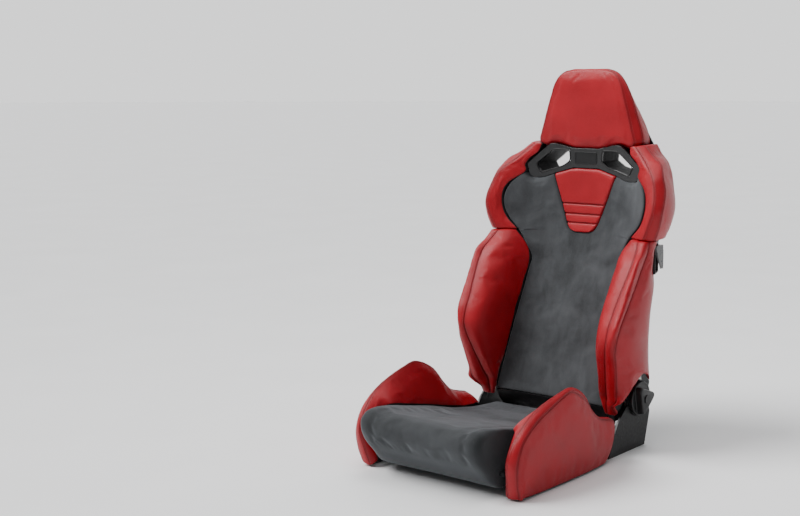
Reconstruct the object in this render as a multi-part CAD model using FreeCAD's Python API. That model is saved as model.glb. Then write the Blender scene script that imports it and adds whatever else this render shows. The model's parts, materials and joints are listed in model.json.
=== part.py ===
import FreeCAD, Part
import os
from math import cos, pi, radians, sin, tan

# Reclining sport seat with a fold-forward backrest. Millimetres.
# +X is the occupant's left, the seat faces -Y, +Z is up.
# The origin is the centre of the four floor bolts, on the plane the seat stands on.

V = FreeCAD.Vector

# ---- driving dimensions -------------------------------------------------------
BOLT_SPAN_X = 400.0          # floor bolts, across the seat
BOLT_SPAN_Y = 290.0          # floor bolts, front to back
BOLT_R = 4.0                 # M8

PIVOT_Y, PIVOT_Z = 200.0, 138.0      # recliner axis, parallel to X
SHAFT_R = 6.0
RUN_GAP = 0.05               # radial running clearance
HUB_R = 14.0
DISC_R = 46.0                # recliner gear disc
SHAFT_END = 20.0             # how far the shaft reaches into each dial

RAIL_X0, RAIL_X1 = 186.0, 214.0      # side member, inner and outer face
RAIL_Y0, RAIL_Y1 = -200.0, 215.0
RAIL_H, RAIL_T = 60.0, 3.0
CROSS_R, CROSS_Z = 11.0, 45.0
FRONT_CROSS_Y, REAR_CROSS_Y = -178.0, 150.0

PLATE_X0, PLATE_X1 = 215.0, 219.4    # backrest side plate
ARM_X0, ARM_X1 = 220.4, 225.4        # recliner arm
GEAR_X0, GEAR_X1 = 226.2, 231.8      # fixed recliner gear
BRACKET_X0, BRACKET_X1 = 232.0, 238.0
BRACKET_BOLTS = [(105, 24), (195, 24)]           # side bracket to rail: (y, z)
PLATE_BOLTS = [(262, 215), (264, 305)]           # side plate to frame tube: (y, z)
DIAL_X0, DIAL_FACE, DIAL_X1 = 240.5, 250.0, 268.0
GRIP_FLAT, GRIP_LOBE = 27.0, 44.0    # dial grip, axis to its flat sides and to its corners
GRIP_FACING = (radians(70), radians(190), radians(310))      # where those sides face
VALANCE_R, VALANCE_T = 82.5, 2.5     # lower tray of the backrest, round the recliner axis

TUBE_X, TUBE_R, TUBE_WALL = 203.0, 11.0, 2.0
HOOP_R = 9.0
PAD = 38.0                   # thickness of the back insert
PANEL_T = 4.0
GAP = 1.0                    # gap between soft neighbours
WIRE_R = 1.8
SPREAD = 20.0                # half width of a zigzag spring
PITCH = 18.0                 # distance between its runs

# Heights and depths of the backrest's middle line: (z, front y) and (z, rear y).
FRONT_LINE = [(120, 122), (300, 183), (450, 234), (566, 273), (650, 288), (745, 294), (1000, 297)]
REAR_LINE = [(165, 282), (230, 298), (450, 305), (560, 338), (650, 376), (700, 383), (850, 381),
             (900, 374), (960, 356), (1005, 334)]

# Back insert: (z, half width, how far the edge stands ahead of the middle).
INSERT = [(122, 190, 7), (300, 172, 10), (450, 156, 11), (490, 152, 12), (530, 171, 33),
          (566, 190, 48), (600, 222, 60), (641, 239, 70), (697, 228, 58), (744, 180, 16)]

# Bezel round the two harness slots, right half as seen from the front: (x, z).
BEZEL_HALF = [(43, 801), (100, 813), (118, 812), (142, 795), (192, 754), (192, 745), (184, 721),
              (168, 712), (135, 717), (100, 730), (43, 746)]
SLOT = [(55, 796), (108, 797), (164, 755), (150, 729), (76, 750), (52, 766)]
REAR_BEZEL_HALF = [(115, 808), (178, 758), (160, 714), (76, 738)]
NECK_HALF = [(43, 743), (104, 727), (46, 574), (14, 566)]
BEZEL_BOW = 20.0             # the bezel's ends stand this far ahead of its middle
BEZEL_T = 11.0
SLOT_WALL = 3.0

# Release lever, in its own frame: out from the seat, along the rear corner, up.
LEVER_AT = V(248, 273.5, 514)
LEVER_TURN = 22.2            # degrees the rear corner faces backwards
LEVER_PIN_OUT, LEVER_PIN_UP = -6.0, 30.0
LEVER_PIN_R = 2.0
# Sections of the pull from the pin down: up, then (out, rearward) corners.
LEVER_WING = [(34, [(-10, -20), (3, -20), (13, 16), (13, 22), (-10, 22)]),
              (24, [(-10, -20), (3, -20), (14, 16), (14, 22), (-10, 22)]),
              (8, [(0, -14), (5, -14), (15, 16), (15, 22), (5, 22)]),
              (-31, [(8, 8), (10, 8), (14.5, 18), (14.5, 22), (11, 22)])]


# ---- small tools --------------------------------------------------------------
def along(line, z):
    """Straight-line reading of a (z, y) list."""
    for (z0, y0), (z1, y1) in zip(line, line[1:]):
        if z <= z1:
            return y0 + (y1 - y0) * (z - z0) / (z1 - z0)
    return line[-1][1]


def polygon(points):
    return Part.makePolygon(points + [points[0]])


def prism_x(points, x0, x1):
    face = Part.Face(polygon([V(x0, y, z) for y, z in points]))
    return face.extrude(V(x1 - x0, 0, 0))


def prism_y(points, y0, y1):
    face = Part.Face(polygon([V(x, y0, z) for x, z in points]))
    return face.extrude(V(0, y1 - y0, 0))


def box(x0, x1, y0, y1, z0, z1):
    return Part.makeBox(x1 - x0, y1 - y0, z1 - z0, V(x0, y0, z0))


def rod_x(radius, x0, x1, y=PIVOT_Y, z=PIVOT_Z):
    return Part.makeCylinder(radius, x1 - x0, V(x0, y, z), V(1, 0, 0))


def loft(sections):
    return Part.makeLoft([polygon(s) for s in sections], True, True)


def whole(half):
    """Closed outline from its +X half, listed from top to bottom."""
    return half + [(-x, z) for x, z in reversed(half)]


def grown(points, by):
    """The outline set outwards by a distance, its corners kept sharp."""
    turning = sum(x0 * z1 - x1 * z0 for (x0, z0), (x1, z1) in zip(points, points[1:] + points[:1]))
    sign = 1 if turning > 0 else -1
    result = []
    for before, at, after in zip(points[-1:] + points, points, points[1:] + points[:1]):
        u = V(at[0] - before[0], at[1] - before[1], 0).normalize()
        w = V(after[0] - at[0], after[1] - at[1], 0).normalize()
        outward = V(u.y + w.y, -u.x - w.x, 0).normalize() * sign
        reach = by / (outward.dot(V(u.y, -u.x, 0)) * sign)
        result.append((at[0] + outward.x * reach, at[1] + outward.y * reach))
    return result


def bent_path(points, bend):
    """Straight runs joined by tangent arcs of one radius."""
    edges = []
    start = points[0]
    for before, at, after in zip(points, points[1:], points[2:]):
        u = (at - before).normalize()
        w = (after - at).normalize()
        half = u.getAngle(w) / 2
        cut = bend * tan(half)
        first = at - u * cut
        last = at + w * cut
        bisect = (w - u).normalize()
        middle = at + bisect * (bend / cos(half) - bend)
        edges.append(Part.LineSegment(start, first).toShape())
        edges.append(Part.Arc(first, middle, last).toShape())
        start = last
    edges.append(Part.LineSegment(start, points[-1]).toShape())
    return Part.Wire(edges)


def sweep(path, radius):
    first = path.Edges[0]
    heading = first.tangentAt(first.FirstParameter)
    circle = Part.Wire(Part.makeCircle(radius, first.valueAt(first.FirstParameter), heading))
    return path.makePipeShell([circle], True, False)


def tube(points, radius, wall, bend=60.0):
    path = bent_path(points, bend)
    return sweep(path, radius).cut(sweep(path, radius - wall))


def straight_tube(radius, wall, half, y, z):
    outer = rod_x(radius, -half, half, y, z)
    return outer.cut(rod_x(radius - wall, -half - 1, half + 1, y, z))


def zigzag(start, run, step, turns):
    """Zigzag wire: runs one step apart, joined by half circles."""
    edges = []
    at = start
    for turn in range(turns):
        end = at + run
        top = end + step * 0.5 + run * (step.Length / 2 / run.Length)
        edges.append(Part.LineSegment(at, end).toShape())
        edges.append(Part.Arc(end, top, end + step).toShape())
        at = end + step
        run = run * -1
    edges.append(Part.LineSegment(at, at + run).toShape())
    return sweep(Part.Wire(edges), WIRE_R)


def save(name, shape):
    shape.exportStep("parts/%s.step" % name)


def save_pair(name, shape):
    """The shape is the +X one; its mirror image is the other."""
    save(name + "_left", shape)
    save(name + "_right", shape.mirror(V(0, 0, 0), V(1, 0, 0)))


# ---- cushion frame ------------------------------------------------------------
def side_member():
    """C-section rail, open towards the middle, with two floor-bolt holes."""
    rail = box(RAIL_X0, RAIL_X1, RAIL_Y0, RAIL_Y1, 0, RAIL_H)
    rail = rail.cut(box(RAIL_X0 - 1, RAIL_X1 - RAIL_T, RAIL_Y0 - 1, RAIL_Y1 + 1, RAIL_T, RAIL_H - RAIL_T))
    for y in (-BOLT_SPAN_Y / 2, BOLT_SPAN_Y / 2):
        rail = rail.cut(Part.makeCylinder(BOLT_R, RAIL_T + 2, V(BOLT_SPAN_X / 2, y, -1)))
    for y, z in BRACKET_BOLTS:
        rail = rail.cut(rod_x(BOLT_R + 0.2, RAIL_X1 - RAIL_T - 1, RAIL_X1 + 1, y, z))
    return rail


HEX_FLATS = 13.0
NUT_H = 6.5


def hexagon(centre, height, direction):
    """Hexagonal prism 13 mm across its flats, for M8 nuts and bolt heads."""
    corner = HEX_FLATS / 2 / cos(pi / 6)
    side = V(0, 1, 0)
    other = direction.cross(side)
    ring = [centre + side * (corner * cos(k * pi / 3)) + other * (corner * sin(k * pi / 3)) for k in range(6)]
    return Part.Face(polygon(ring)).extrude(direction * height)


def mount_nuts():
    """Four M8 weld nuts standing on the rails' lower flanges."""
    nuts = []
    for x in (-BOLT_SPAN_X / 2, BOLT_SPAN_X / 2):
        for y in (-BOLT_SPAN_Y / 2, BOLT_SPAN_Y / 2):
            nut = hexagon(V(x, y, RAIL_T), NUT_H, V(0, 0, 1))
            nuts.append(nut.cut(Part.makeCylinder(BOLT_R, NUT_H + 2, V(x, y, RAIL_T - 1))))
    return Part.makeCompound(nuts)


def bracket_bolts():
    """Bolts from inside each rail into the side bracket's boss."""
    bolts = []
    for y, z in BRACKET_BOLTS:
        bolt = hexagon(V(RAIL_X1 - RAIL_T, y, z), 5.3, V(-1, 0, 0))
        bolt = bolt.fuse(rod_x(BOLT_R, RAIL_X1 - RAIL_T, BRACKET_X0 - 4, y, z))
        bolts.append(bolt)
        bolts.append(bolt.mirror(V(0, 0, 0), V(1, 0, 0)))
    return Part.makeCompound(bolts)


def cushion_pan():
    """Pressed steel pan on the rails, turned down at its front edge."""
    low, high = RAIL_H + 0.2, RAIL_H + 2.7
    outline = [(-352, 54), (-349.5, 54), (-349.5, low), (-60, low), (-60, high), (-352, high)]
    return prism_x(outline, -208, 208)


def cushion_springs():
    """Four zigzag wires from the pan to the rear cross tube."""
    top = CROSS_Z + CROSS_R + WIRE_R
    wires = []
    for x in (-126, -42, 42, 126):
        wires.append(zigzag(V(x - SPREAD, -56, top), V(2 * SPREAD, 0, 0), V(0, PITCH, 0), 11))
    return Part.makeCompound(wires)


# ---- cushion padding ----------------------------------------------------------
def seat_insert():
    """Middle of the cushion: high front that rolls down round the pan, low rear, dished across."""
    edge = [(116, 68), (116, 84), (72, 86), (11, 89), (-60, 103), (-120, 117), (-170, 130), (-271, 152),
            (-341, 167), (-385, 173), (-417, 168), (-434, 150), (-435, 130), (-424, 102), (-395, 65), (-345, 19),
            (-336, 17), (-322, 24), (-330, 48), (-357, 50), (-357, 67), (-330, 67)]
    sections = []
    for x, drop in ((-194, 0), (-110, 10), (110, 10), (194, 0)):
        sections.append([V(x, y, z - drop if z > 110 else z) for y, z in edge])
    body = loft(sections)
    for side in (-1, 1):
        body = body.cut(box(min(side * 186, side * 300), max(side * 186, side * 300), 52, 130, 40, 200))
    return body


# Side views of the cushion bolster, front bottom round over the top to rear bottom.
BOLSTER_SIDES = [
    (199, [(-350, 64), (-366, 100), (-360, 142), (-320, 164), (-150, 127), (-80, 109), (-10, 95),
           (54, 88), (58, 78), (50, 64)]),
    (220, [(-356, 64), (-374, 102), (-364, 150), (-312, 190), (-150, 186), (-88, 172), (-16, 122),
           (58, 107), (60, 84), (50, 64)]),
    (222, [(-358, 5), (-375, 100), (-364, 151), (-312, 192), (-150, 191), (-89, 177), (-16, 123),
           (58, 107), (50, 70), (24, 5)]),
    (248, [(-362, 5), (-383, 102), (-352, 154), (-300, 200), (-150, 241), (-96, 226), (-20, 132),
           (60, 104), (44, 65), (22, 5)]),
    (266, [(-352, 5), (-361, 82), (-330, 128), (-250, 183), (-135, 218), (-94, 212), (-22, 127),
           (56, 101), (42, 62), (22, 5)]),
]


def cushion_bolster():
    sections = []
    for x, outline in BOLSTER_SIDES:
        sections.append([V(x, y, z) for y, z in outline])
    return loft(sections)


# ---- recliner -----------------------------------------------------------------
def side_bracket():
    """Steel side bracket, with the boss that stands on the rail's outer face."""
    outline = [(57, 0), (84, 54), (105, 92), (138, 120), (165, 138), (200, 150), (248, 138), (262, 89),
               (236, 0)]
    plate = prism_x(outline, BRACKET_X0, BRACKET_X1)
    plate = plate.fuse(rod_x(DISC_R + 4, BRACKET_X0, BRACKET_X1))
    boss = box(RAIL_X1, BRACKET_X0, 85, 212, 4, 44)
    for y, z in BRACKET_BOLTS:
        boss = boss.cut(rod_x(BOLT_R + 0.2, RAIL_X1 - 1, BRACKET_X0 - 3, y, z))
    plate = plate.fuse(boss).removeSplitter()
    return plate.cut(rod_x(SHAFT_R + 2, BRACKET_X0 - 1, BRACKET_X1 + 1))


def recliner_gear():
    gear = rod_x(DISC_R, GEAR_X0, GEAR_X1)
    return gear.cut(rod_x(SHAFT_R + RUN_GAP, GEAR_X0 - 1, GEAR_X1 + 1))


def recliner_arm():
    """Disc, neck and hub; the backrest's side plate turns on the hub."""
    neck = [(176, 150), (200, 236), (240, 236), (236, 150)]
    arm = rod_x(DISC_R - 2, ARM_X0, ARM_X1).fuse(prism_x(neck, ARM_X0, ARM_X1))
    arm = arm.fuse(rod_x(HUB_R, PLATE_X0 - 3, ARM_X0))
    return arm.removeSplitter().cut(rod_x(SHAFT_R + RUN_GAP, PLATE_X0 - 4, ARM_X1 + 1))


def grip_radius(angle):
    """Radius of the dial's three-sided grip: a triangle with its corners cut round."""
    flat = max(cos(angle - facing) for facing in GRIP_FACING)
    return min(GRIP_LOBE, GRIP_FLAT / flat)


def recline_dial():
    """Disc with a three-sided grip that tapers outwards."""
    rings = []
    for x, scale in ((DIAL_FACE, 1.0), (DIAL_X1 - 4, 0.94), (DIAL_X1, 0.86)):
        ring = []
        for k in range(36):
            turn = k * pi / 18
            radius = scale * grip_radius(turn)
            ring.append(V(x, PIVOT_Y + radius * cos(turn), PIVOT_Z + radius * sin(turn)))
        rings.append(ring)
    dial = rod_x(DISC_R + 1, DIAL_X0, DIAL_FACE).fuse(loft(rings))
    return dial.cut(rod_x(SHAFT_R + RUN_GAP, DIAL_X0 - 1, DIAL_X0 + SHAFT_END + 1))


def dial_caps():
    cap = rod_x(12, DIAL_X1 + 0.1, DIAL_X1 + 2.5)
    return Part.makeCompound([cap, cap.mirror(V(0, 0, 0), V(1, 0, 0))])


# ---- backrest frame -----------------------------------------------------------
def back_side_plate():
    """Pressed plate from a toe ahead of the pivot up to the frame tube."""
    outline = [(116, 88), (116, 101), (130, 107), (152, 128), (192, 200), (214, 255), (236, 330), (276, 330),
               (273, 210), (284, 182), (290, 162), (283, 144), (240, 112), (205, 103), (150, 88)]
    plate = prism_x(outline, PLATE_X0, PLATE_X1)
    plate = plate.fuse(rod_x(36, PLATE_X0, PLATE_X1)).removeSplitter()
    for y, z in PLATE_BOLTS:
        plate = plate.cut(rod_x(BOLT_R + 0.2, PLATE_X0 - 1, PLATE_X1 + 1, y, z))
    return plate.cut(rod_x(HUB_R + RUN_GAP, PLATE_X0 - 1, PLATE_X1 + 1))


def back_frame_tube():
    """Bent tube from the side plate up to the foot of the head hoop."""
    points = [V(TUBE_X, 262, 185), V(TUBE_X, 264, 330), V(TUBE_X, 286, 455), V(TUBE_X, 322, 562),
              V(TUBE_X, 350, 655), V(TUBE_X, 353, 706), V(186, 353, 760), V(163, 353, 806)]
    frame = tube(points, TUBE_R, TUBE_WALL, 40.0)
    for y, z in PLATE_BOLTS:
        frame = frame.cut(rod_x(BOLT_R + 0.2, TUBE_X, TUBE_X + TUBE_R + 1, y, z))
    return frame


def plate_bolts():
    """Button-head screws from the side plates into the frame tubes."""
    screws = []
    for y, z in PLATE_BOLTS:
        screw = rod_x(BOLT_R, TUBE_X + 3, PLATE_X0, y, z)
        screw = screw.fuse(rod_x(BOLT_R, PLATE_X0, PLATE_X1 + 0.3, y, z))
        screws.append(screw.removeSplitter())
        screws.append(screw.removeSplitter().mirror(V(0, 0, 0), V(1, 0, 0)))
    return Part.makeCompound(screws)


def head_hoop_points():
    half = [V(155, 353, 818), V(94, 352, 836), V(82, 332, 950)]
    return half + [V(-p.x, p.y, p.z) for p in reversed(half)]


def back_springs():
    """Three zigzag wires across the backrest, between the frame tubes."""
    wires = []
    for y, z in ((257, 300), (267, 370), (279, 430)):
        start = V(-10.5 * PITCH, y, z - SPREAD)
        wires.append(zigzag(start, V(0, 0, 2 * SPREAD), V(PITCH, 0, 0), 21))
    return Part.makeCompound(wires)


def tilt_latch():
    """Closed housing of the fold-forward latch, on the side plate's inner face."""
    return box(PLATE_X0 - 20, PLATE_X0, 203, 240, 190, 228)


# ---- backrest padding ---------------------------------------------------------
def slab(ahead, behind, half):
    """Slab that follows the backrest's front line, for cutting pads to depth."""
    front = [(y + ahead, z) for z, y in FRONT_LINE]
    back = [(y + behind, z) for z, y in reversed(FRONT_LINE)]
    return prism_x(front + back, -half, half)


def bezel_bow(offset, y_far):
    """Everything in front of (or behind) the bowed face, as a solid."""
    y0 = along(FRONT_LINE, 760) + offset
    left = V(-200, y0 - BEZEL_BOW, 690)
    right = V(200, y0 - BEZEL_BOW, 690)
    arc = Part.Arc(left, V(0, y0, 690), right).toShape()
    far = [V(200, y_far, 690), V(-200, y_far, 690)]
    rest = Part.makePolygon([right] + far + [left])
    return Part.Face(Part.Wire([arc] + rest.Edges)).extrude(V(0, 0, 150))


def bezel_zone():
    return prism_y(grown(whole(BEZEL_HALF), GAP), 200, 330)


def tunnel_zone(y0, y1):
    """Space of both harness tunnels with their walls."""
    zone = prism_y(grown(SLOT, SLOT_WALL + 0.5), y0, y1)
    return zone.fuse(zone.mirror(V(0, 0, 0), V(1, 0, 0)))


def back_insert():
    sections = []
    for z, half, ahead in INSERT:
        y = along(FRONT_LINE, z)
        edge_y, inner_y = y - ahead, y - 0.3 * ahead
        front = [(-half, edge_y), (-0.6 * half, inner_y), (0.6 * half, inner_y), (half, edge_y)]
        back = [(x, depth + PAD) for x, depth in reversed(front)]
        sections.append([V(x, depth, z) for x, depth in front + back])
    body = loft(sections)
    neck = prism_y(grown(whole(NECK_HALF), GAP), 200, 360)
    body = body.cut(neck.common(slab(-80, 23, 200)))
    return body.cut(bezel_zone()).cut(tunnel_zone(250, 380))


def neck_pad():
    outline = prism_y(whole(NECK_HALF), 200, 360)
    return outline.common(slab(-4, 22, 200))


# Head pad: (z, half width in front, front y, widest half width, its y, half width behind, rear y).
HEAD = [(803, 136, 296, 138, 330, 136, 372), (818, 160, 295, 174, 316, 164, 374),
        (841, 154, 295, 171, 318, 158, 374), (894, 140, 295, 152, 320, 136, 368),
        (945, 124, 296, 134, 322, 112, 354), (990, 108, 299, 112, 322, 90, 334),
        (1020, 80, 306, 80, 318, 76, 324)]


def head_pad():
    sections = []
    for z, front, y0, wide, y1, rear, y2 in HEAD:
        half = [(front, y0), (wide, y1), (rear, y2)]
        ring = half + [(-x, y) for x, y in reversed(half)]
        sections.append([V(x, y, z) for x, y in ring])
    body = loft(sections)
    pocket = sweep(bent_path(head_hoop_points(), 30.0), HOOP_R + 0.5)
    return body.cut(pocket).cut(bezel_zone()).cut(tunnel_zone(250, 380))


# Sections of the shoulder and lateral bolsters, from the insert's edge round the
# outside to the rear: z, inner edge, front seam, outer seam, rear corner, rear,
# then the step round the frame tube.
SHOULDER = [
    (566, (192, 226), (250, 197), (276, 216), (260, 285), (240, 318), (217, 326), (217, 300), (194, 268)),
    (600, (224, 220), (264, 193), (290, 214), (268, 300), (244, 340), (217, 348), (217, 305), (226, 264)),
    (641, (241, 218), (279, 194), (300, 216), (272, 315), (240, 366), (217, 370), (217, 300), (242, 264)),
    (700, (229, 234), (273, 214), (292, 243), (262, 320), (240, 365), (217, 378), (217, 310), (230, 278)),
    (732, (195, 270), (258, 228), (281, 250), (252, 320), (236, 365), (212, 378), (212, 320), (197, 316)),
    (765, (196, 278), (223, 257), (262, 272), (240, 330), (224, 366), (202, 377), (202, 325), (196, 318)),
    (800, (150, 292), (186, 280), (206, 304), (204, 340), (196, 366), (184, 375), (182, 328), (150, 328)),
    (814, (172, 292), (177, 287), (192, 312), (190, 340), (186, 362), (180, 372), (179, 328), (174, 324)),
]
LATERAL = [
    (132, (190, 120), (197, 104), (256, 72), (259, 84), (250, 90), (230, 98), (226, 110), (190, 128)),
    (160, (187, 128), (206, 86), (258, 66), (261, 112), (250, 118), (230, 125), (226, 146), (187, 150)),
    (182, (185, 136), (211, 77), (259, 64), (262, 148), (252, 156), (230, 160), (226, 166), (185, 176)),
    (206, (183, 143), (216, 70), (260, 62), (262, 205), (250, 234), (231, 264), (229, 188), (183, 186)),
    (280, (176, 168), (230, 47), (264, 42), (264, 180), (250, 214), (231, 250), (229, 213), (176, 213)),
    (332, (171, 184), (239, 41), (267, 46), (264, 190), (250, 226), (231, 262), (229, 230), (171, 230)),
    (395, (164, 206), (241, 68), (267, 92), (263, 205), (250, 238), (217, 290), (217, 252), (164, 252)),
    (460, (157, 228), (245, 107), (267, 146), (262, 222), (250, 253), (217, 300), (217, 270), (157, 272)),
    (517, (167, 236), (249, 141), (267, 200), (262, 245), (250, 277), (217, 314), (217, 292), (167, 292)),
    (563, (196, 225), (238, 200), (270, 214), (262, 272), (250, 296), (217, 326), (217, 302), (196, 262)),
]


def bolster(rows):
    sections = []
    for row in rows:
        sections.append([V(x, y, row[0]) for x, y in row[1:]])
    return loft(sections)


def shoulder_bolster():
    return bolster(SHOULDER).cut(bezel_zone())


def lateral_bolster():
    """Side bolster with the arch over the dial and the pocket of the lever."""
    arch = [(60, 100), (74, 137), (112, 165), (147, 186), (180, 201), (214, 206), (240, 198), (262, 183),
            (310, 150), (310, 100)]
    body = bolster(LATERAL).cut(prism_x(arch, 229, 300))
    return body.cut(lever_place(box(-21, 40, -29, 29, -43, 43)))


# ---- backrest shells ----------------------------------------------------------
# Half width of the rear shell: (z, x).
PANEL_HALF = [(168, 205), (230, 208), (332, 208), (395, 213), (700, 213), (765, 200), (815, 172), (880, 138),
              (960, 100), (1004, 78)]
PANEL_PARTS = [("lower", 168, 450), ("middle", 451, 650), ("upper", 651, 1004)]


def back_panel():
    """Thin rear shell that follows the rear line, before it is parted."""
    sections = []
    for z in (168, 230, 332, 395, 450, 560, 650, 700, 765, 815, 850, 900, 960, 1004):
        half = along(PANEL_HALF, z)
        y = along(REAR_LINE, z)
        sections.append([V(-half, y - PANEL_T, z), V(half, y - PANEL_T, z), V(half, y, z), V(-half, y, z)])
    panel = loft(sections)
    return panel.cut(prism_y(grown(whole(REAR_BEZEL_HALF), 0.5), 340, 400))


def front_bezel():
    ring = prism_y(whole(BEZEL_HALF), 240, 320).cut(bezel_bow(0, 200)).cut(bezel_bow(BEZEL_T, 400))
    hole = prism_y(SLOT, 200, 340)
    return ring.cut(hole).cut(hole.mirror(V(0, 0, 0), V(1, 0, 0)))


def rear_bezel():
    ring = prism_y(whole(REAR_BEZEL_HALF), 377, 385)
    hole = prism_y(SLOT, 370, 400)
    return ring.cut(hole).cut(hole.mirror(V(0, 0, 0), V(1, 0, 0)))


def harness_tunnel():
    """Sleeve behind each slot, from the front bezel to the rear one."""
    sleeve = prism_y(grown(SLOT, SLOT_WALL), 260, 376.8)
    sleeve = sleeve.cut(prism_y(SLOT, 250, 390))
    return sleeve.cut(bezel_bow(BEZEL_T + 0.2, 200))


def back_valance():
    """Curved tray under the back insert that closes the gap behind the cushion."""
    tray = rod_x(VALANCE_R, -186, 186).cut(rod_x(VALANCE_R - VALANCE_T, -183, 183))
    tray = tray.cut(rod_x(HUB_R, -187, 187))
    reach = 200.0
    corners = [(PIVOT_Y, PIVOT_Z)]
    for degrees in (180, 220, 246):
        turn = radians(degrees)
        corners.append((PIVOT_Y + reach * cos(turn), PIVOT_Z + reach * sin(turn)))
    tray = tray.common(prism_x(corners, -186, 186)).common(box(-187, 187, 100, 200, 50, 120))
    return tray.fuse(box(-186, 186, 120.5, 158, 120 - VALANCE_T, 120)).removeSplitter()


# ---- release lever ------------------------------------------------------------
def lever_place(shape):
    """From the lever's own frame to its place at the seat's rear corner."""
    placed = shape.copy()
    placed.rotate(V(0, 0, 0), V(0, 0, 1), LEVER_TURN)
    placed.translate(LEVER_AT)
    return placed


def lever_pin_cylinder(radius, half):
    return Part.makeCylinder(radius, 2 * half, V(LEVER_PIN_OUT, -half, LEVER_PIN_UP), V(0, 1, 0))


def lever_bezel():
    cup = box(-20, 0, -28, 28, -42, 42).cut(box(-17, 1, -24, 24, -38, 38))
    return lever_place(cup.cut(lever_pin_cylinder(LEVER_PIN_R, 27)))


def lever_pin():
    return lever_place(lever_pin_cylinder(LEVER_PIN_R, 26.9))


def release_lever():
    """Wing-shaped pull hung on the pin; its rear edge and its foot stand out from the cup."""
    rings = []
    for up, ring in LEVER_WING:
        rings.append([V(out, rearward, up) for out, rearward in ring])
    return lever_place(loft(rings).cut(lever_pin_cylinder(LEVER_PIN_R + RUN_GAP, 24)))


# ---- all parts ----------------------------------------------------------------
def main():
    os.makedirs("parts", exist_ok=True)
    save_pair("side_member", side_member())
    save("front_cross_tube", straight_tube(CROSS_R, 2, RAIL_X1 - RAIL_T, FRONT_CROSS_Y, CROSS_Z))
    save("rear_cross_tube", straight_tube(CROSS_R, 2, RAIL_X1 - RAIL_T, REAR_CROSS_Y, CROSS_Z))
    save("mount_nuts", mount_nuts())
    save("bracket_bolts", bracket_bolts())
    save("cushion_pan", cushion_pan())
    save("cushion_springs", cushion_springs())
    save("seat_insert", seat_insert())
    save_pair("cushion_bolster", cushion_bolster())
    save_pair("side_bracket", side_bracket())
    save_pair("recliner_gear", recliner_gear())
    save_pair("recliner_arm", recliner_arm())
    save("arm_torque_tube", straight_tube(10, 3, PLATE_X0 - 3, PIVOT_Y, PIVOT_Z))
    save("recline_shaft", rod_x(SHAFT_R, -DIAL_X0 - SHAFT_END, DIAL_X0 + SHAFT_END))
    save_pair("recline_dial", recline_dial())
    save("dial_caps", dial_caps())
    save_pair("back_side_plate", back_side_plate())
    save_pair("back_frame_tube", back_frame_tube())
    save("back_plate_screws", plate_bolts())
    save("lower_cross_tube", straight_tube(9, 2, TUBE_X - TUBE_R, 262, 200))
    save("upper_cross_tube", straight_tube(9, 2, TUBE_X - TUBE_R, 352, 692))
    save("head_hoop", tube(head_hoop_points(), HOOP_R, 1.5, 30.0))
    save("back_springs", back_springs())
    save_pair("tilt_latch", tilt_latch())
    save("back_insert", back_insert())
    save("neck_pad", neck_pad())
    save("head_pad", head_pad())
    save_pair("shoulder_bolster", shoulder_bolster())
    save_pair("lateral_bolster", lateral_bolster())
    panel = back_panel()
    for name, low, high in PANEL_PARTS:
        save("back_panel_" + name, panel.common(box(-300, 300, 200, 400, low, high)))
    save("back_valance", back_valance())
    save("front_bezel", front_bezel())
    save("rear_bezel", rear_bezel())
    save_pair("harness_tunnel", harness_tunnel())
    save_pair("lever_bezel", lever_bezel())
    save_pair("lever_pin", lever_pin())
    save_pair("release_lever", release_lever())


main()
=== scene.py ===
"""Reclining sport seat: leather, suede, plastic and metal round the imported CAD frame.

Tables are in millimetres in the CAD's frame, the seat facing -Y; MM turns them into metres.
"""
import json
from math import cos, pi, radians, sin

import bmesh
import bpy
import numpy as np
from mathutils import Matrix, Vector, noise

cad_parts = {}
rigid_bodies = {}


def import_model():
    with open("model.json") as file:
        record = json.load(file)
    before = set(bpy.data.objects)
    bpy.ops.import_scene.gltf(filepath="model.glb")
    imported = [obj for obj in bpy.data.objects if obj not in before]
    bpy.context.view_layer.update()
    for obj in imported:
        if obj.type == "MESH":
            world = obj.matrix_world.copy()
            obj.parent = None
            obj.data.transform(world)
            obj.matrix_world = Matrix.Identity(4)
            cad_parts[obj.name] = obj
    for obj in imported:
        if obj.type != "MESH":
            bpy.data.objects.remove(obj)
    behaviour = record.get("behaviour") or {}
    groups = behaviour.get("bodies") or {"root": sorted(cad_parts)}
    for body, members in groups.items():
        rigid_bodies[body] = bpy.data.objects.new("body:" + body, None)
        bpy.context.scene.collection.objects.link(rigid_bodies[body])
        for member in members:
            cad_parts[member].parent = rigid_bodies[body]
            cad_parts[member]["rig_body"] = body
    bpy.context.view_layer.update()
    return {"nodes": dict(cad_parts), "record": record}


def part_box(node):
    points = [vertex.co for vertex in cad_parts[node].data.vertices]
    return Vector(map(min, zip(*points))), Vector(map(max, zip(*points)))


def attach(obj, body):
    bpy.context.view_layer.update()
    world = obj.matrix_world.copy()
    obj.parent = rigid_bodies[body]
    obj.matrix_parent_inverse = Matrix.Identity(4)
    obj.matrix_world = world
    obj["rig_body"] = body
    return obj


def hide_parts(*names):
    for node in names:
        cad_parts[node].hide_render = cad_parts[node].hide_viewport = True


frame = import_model()
MM = 0.001

# ---- looks that several pieces share ---------------------------------------------
NEAR = (1.0, 2.4, 4.5, 8.0)      # mesh lines beside a seam, mm from it
STITCH_LINE = 3                  # which of them carries the topstitching
TRENCH_DEPTH, TRENCH_WIDTH = 1.9, 1.5
CROWN_POWER = 2.4
STITCH_PITCH, STITCH_LENGTH, STITCH_THICK = 4.4, 3.2, 1.0
STITCH_PROUD = 0.12              # how far a stitch stands out of the leather
FILL = 0.9                       # tightly filled


# ---- curves and grids ------------------------------------------------------------
def lengths(points):
    """Running length along a list of points."""
    steps = np.linalg.norm(np.diff(points, axis=0), axis=-1)
    return np.concatenate([[0.0], np.cumsum(np.maximum(steps, 1e-3))])


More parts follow.
